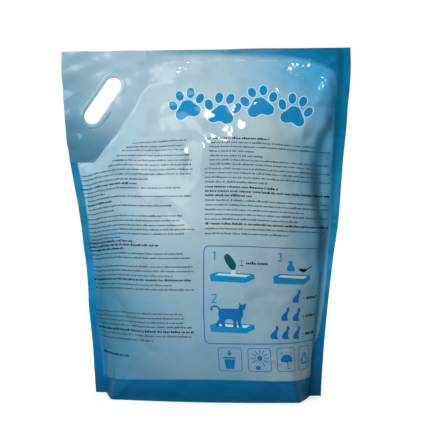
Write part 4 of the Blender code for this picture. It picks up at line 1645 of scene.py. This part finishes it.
# %% Shapes of the signs, from the lower left corner of their boxes
SIGN_SIZE = 26.0
BIN_PARTS = (
    ((0.30, 0.10), (0.66, 0.10), (0.72, 0.52), (0.24, 0.52)),
    ((0.20, 0.56), (0.76, 0.56), (0.76, 0.62), (0.20, 0.62)),
    ((0.48, 0.67), (0.60, 0.80), (0.52, 0.80), (0.52, 0.92), (0.44, 0.92), (0.44, 0.80), (0.36, 0.80)),
)
THIN_LINE = 0.9
SUN_CENTRE = (13.4, 15.6)
SUN_RADIUS = 3.1
RAY_START, RAY_END, SHORT_RAY_END = 4.4, 10.2, 6.6
SHORT_RAYS = (240, 270)
SUNLIT_BOX = ((8.2, 2.2), (13.6, 2.2), (13.6, 6.6), (8.2, 6.6))
UMBRELLA_CENTRE = (13.0, 12.5)
UMBRELLA_RADIUS = 9.0
UMBRELLA_RISE = 7.5
UMBRELLA_SAG = 1.6
STICK_TOP, STICK_FOOT = 11.5, 5.0
HOOK_RADIUS = 1.6
HOOK_HEIGHT = 4.8
DROP = ((0.0, 1.6), (0.7, 0.0), (0.0, -0.8), (-0.7, 0.0))
DROP_PLACES = ((5.5, 21.0), (13.0, 22.6), (20.5, 21.0))
LOOP_CENTRE = (13.0, 12.4)
ARROW_SHAFT = ((-6.2, -4.6), (2.6, -4.6))
ARROW_HEAD = ((2.6, -7.2), (7.0, -4.6), (2.6, -2.0))
ARROW_WIDTH = 2.1
print("the bin has", len(BIN_PARTS), "parts and the umbrella", len(DROP_PLACES), "drops")


# %% Draw the signs
def bin_sign():
    """A bin with its lid and an arrow into it."""
    return [np.array(part) * SIGN_SIZE for part in BIN_PARTS]


def sun_sign():
    """A sun with its rays over a small box."""
    centre = np.array(SUN_CENTRE)
    shapes = [arc(centre, SUN_RADIUS, 0, 345, 23)]
    for degrees in range(0, 360, 30):
        ray = np.array((math.cos(math.radians(degrees)), math.sin(math.radians(degrees))))
        end = SHORT_RAY_END if degrees in SHORT_RAYS else RAY_END
        shapes += stroke(straight(centre + RAY_START * ray, centre + end * ray), THIN_LINE)
    return [*shapes, np.array(SUNLIT_BOX)]


def umbrella_sign():
    """An open umbrella and three drops over it."""
    upper = arc(UMBRELLA_CENTRE, UMBRELLA_RADIUS, 0, 180, 16, high=UMBRELLA_RISE)
    lower = arc(UMBRELLA_CENTRE, UMBRELLA_RADIUS, 180, 360, 12, high=UMBRELLA_SAG)[1:-1]
    stick_x = UMBRELLA_CENTRE[0]
    stick = straight((stick_x, STICK_TOP), (stick_x, STICK_FOOT))
    hook = arc((stick_x + HOOK_RADIUS, HOOK_HEIGHT), HOOK_RADIUS, 190, 340, 6)
    shapes = [np.concatenate([upper, lower]), *stroke([*stick, *hook], THIN_LINE)]
    return shapes + [bend(DROP, 3) + place for place in DROP_PLACES]


def loop_sign():
    """Three arrows that chase each other round a triangle."""
    shapes = []
    for degrees in (0, 120, 240):
        shaft = turned(ARROW_SHAFT, degrees) + LOOP_CENTRE
        shapes += stroke(straight(*shaft), ARROW_WIDTH)
        shapes.append(turned(ARROW_HEAD, degrees) + LOOP_CENTRE)
    return shapes


signs = []
for box, shapes in zip(SIGN_BOXES, (bin_sign(), sun_sign(), umbrella_sign(), loop_sign())):
    signs += [np.array(shape) + box[:2] for shape in shapes]
lay_ink("sign_drawings", signs, line_blue)

# %% [markdown]
# The studio.
# The bag stands on a pale floor in front of white. One large soft lamp hangs high on the left: its broad
# reflection makes the upper half of the film milky, while the lower half looks down at the floor and
# stays darker; the film's tints add a painted sheen above and painted shade below. Two small lamps high
# in front put the sharp glints on the creases, a weak one on the right opens the shadows, and one behind
# lights the other face. The floor keeps the bag's own shadow.

# %% Greys and reaches of the floor and the room
FLOOR_SIZE = 60.0
FLOOR_DROP = 0.0002
FLOOR_GREYS = (0.50, 0.52)
FLOOR_GRAIN = (3.0, 2.0)
FLOOR_ROUGHNESS = 0.9
FLOOR_REACH = (0.3, 2.0)
FLOOR_GLOW = (0.66, 1.0)
MIRRORED_GREY = 0.14
MIRRORED_GLOW = 0.04
ROOM_LIGHT = 0.25
MIRRORED_ROOM = (0.09, 0.26)
BACK_TURN = 0.8
print("the floor is", FLOOR_SIZE, "m wide")


# %% Floor and background
def grey(level):
    """A grey of Blender's own linear scale."""
    return (level, level, level, 1.0)


def seen(nodes):
    """Whether the camera looks straight at it, and whether it looks in a mirror or through glass."""
    path = nodes.add("ShaderNodeLightPath").outputs
    return path["Is Camera Ray"], nodes.math("MAXIMUM", path["Is Glossy Ray"], path["Is Transmission Ray"])


def make_floor():
    """A pale floor with faint cloudiness."""
    half, ground = FLOOR_SIZE / 2, low.z - FLOOR_DROP
    corners = [(x * half, y * half, ground) for x, y in ((-1, -1), (1, -1), (1, 1), (-1, 1))]
    mesh = new_mesh("floor", corners, [(0, 1, 2, 3)])
    floor = add_object("floor", mesh)
    material = bpy.data.materials.new("floor_paint")
    material.use_nodes = True
    nodes = Nodes(material)
    shader = material.node_tree.nodes["Principled BSDF"]
    place = nodes.add("ShaderNodeTexCoord").outputs["Object"]
    paint = nodes.mix(nodes.grain(place, *FLOOR_GRAIN), grey(FLOOR_GREYS[0]), grey(FLOOR_GREYS[1]))
    camera_ray, mirror_ray = seen(nodes)
    nodes.join(nodes.mix(mirror_ray, paint, grey(MIRRORED_GREY)), shader.inputs["Base Color"])
    far = nodes.add("ShaderNodeVectorMath", place, operation="LENGTH").outputs["Value"]
    glow = nodes.math("MULTIPLY", camera_ray, nodes.ramp(far, *FLOOR_REACH, *FLOOR_GLOW))
    shader.inputs["Roughness"].default_value = FLOOR_ROUGHNESS
    shader.inputs["Emission Color"].default_value = grey(1.0)
    glow = nodes.math("MULTIPLY_ADD", mirror_ray, MIRRORED_GLOW, glow)
    nodes.join(glow, shader.inputs["Emission Strength"])
    mesh.materials.append(material)
    return floor


def make_world():
    """White for the camera, and a weaker even light for the bag."""
    world = bpy.data.worlds.new("studio")
    world.use_nodes = True
    bpy.context.scene.world = world
    nodes = Nodes(world)
    direction = nodes.add("ShaderNodeTexCoord").outputs["Generated"]
    towards_back = nodes.add("ShaderNodeSeparateXYZ", direction).outputs["Y"]
    camera_ray, mirror_ray = seen(nodes)
    lit = nodes.math("MULTIPLY_ADD", camera_ray, 1.0 - ROOM_LIGHT, ROOM_LIGHT)
    mirrored = nodes.math("SUBTRACT", nodes.ramp(towards_back, 0.0, BACK_TURN, *MIRRORED_ROOM), ROOM_LIGHT)
    strength = nodes.math("MULTIPLY_ADD", mirror_ray, mirrored, lit)
    background = world.node_tree.nodes["Background"]
    background.inputs["Color"].default_value = grey(1.0)
    nodes.join(strength, background.inputs["Strength"])


floor = make_floor()
make_world()

# %% Lamps
WHITE = (1.0, 1.0, 1.0)
WARM_WHITE = (1.0, 0.99, 0.97)
COOL_WHITE = (0.94, 0.97, 1.0)
BAG_MIDDLE = Vector((0.0, 0.0, 0.21))
# name, place, width and height, watts, tint
LAMPS = (
    ("key_lamp", (-1.0, -1.5, 1.3), (1.3, 1.0), 25.0, WHITE),
    ("spark_lamp", (-0.2, -1.7, 1.75), (0.15, 0.15), 5.0, WARM_WHITE),
    ("high_spark_lamp", (0.28, -1.55, 2.05), (0.14, 0.14), 4.0, WARM_WHITE),
    ("side_lamp", (1.5, -1.0, 0.9), (0.5, 0.9), 1.4, COOL_WHITE),
    ("back_lamp", (0.2, 1.6, 1.4), (1.2, 0.8), 20.0, WHITE),
)


def soft_lamp(name, place, size, watts, tint):
    """A rectangular lamp that faces the bag's middle."""
    data = bpy.data.lights.new(name, "AREA")
    data.shape = "RECTANGLE"
    data.size, data.size_y = size
    data.energy = watts
    data.color = tint
    lamp = add_object(name, data)
    lamp.location = place
    lamp.rotation_euler = (BAG_MIDDLE - Vector(place)).to_track_quat("-Z", "Y").to_euler()


for lamp_row in LAMPS:
    soft_lamp(*lamp_row)
print(len(LAMPS), "lamps of", sum(lamp_row[3] for lamp_row in LAMPS), "watts together")

# %% Camera, as the photograph was taken
CAMERA_TURN = math.radians(7.0)
CAMERA_DISTANCE = 1.40
CAMERA_TARGET = Vector((0.0152, 0.0, 0.2136))
CAMERA_LENS = 97.0
SENSOR_WIDTH = 36.0
camera_data = bpy.data.cameras.new("camera")
camera_data.lens = CAMERA_LENS
camera_data.sensor_width = SENSOR_WIDTH
camera = add_object("camera", camera_data)
away = Vector((math.sin(CAMERA_TURN), -math.cos(CAMERA_TURN), 0.0))
camera.location = CAMERA_TARGET + CAMERA_DISTANCE * away
camera.rotation_euler = (-away).to_track_quat("-Z", "Y").to_euler()
bpy.context.scene.camera = camera
bpy.context.scene.view_settings.view_transform = "Standard"
print("camera at", [round(place, 3) for place in camera.location])
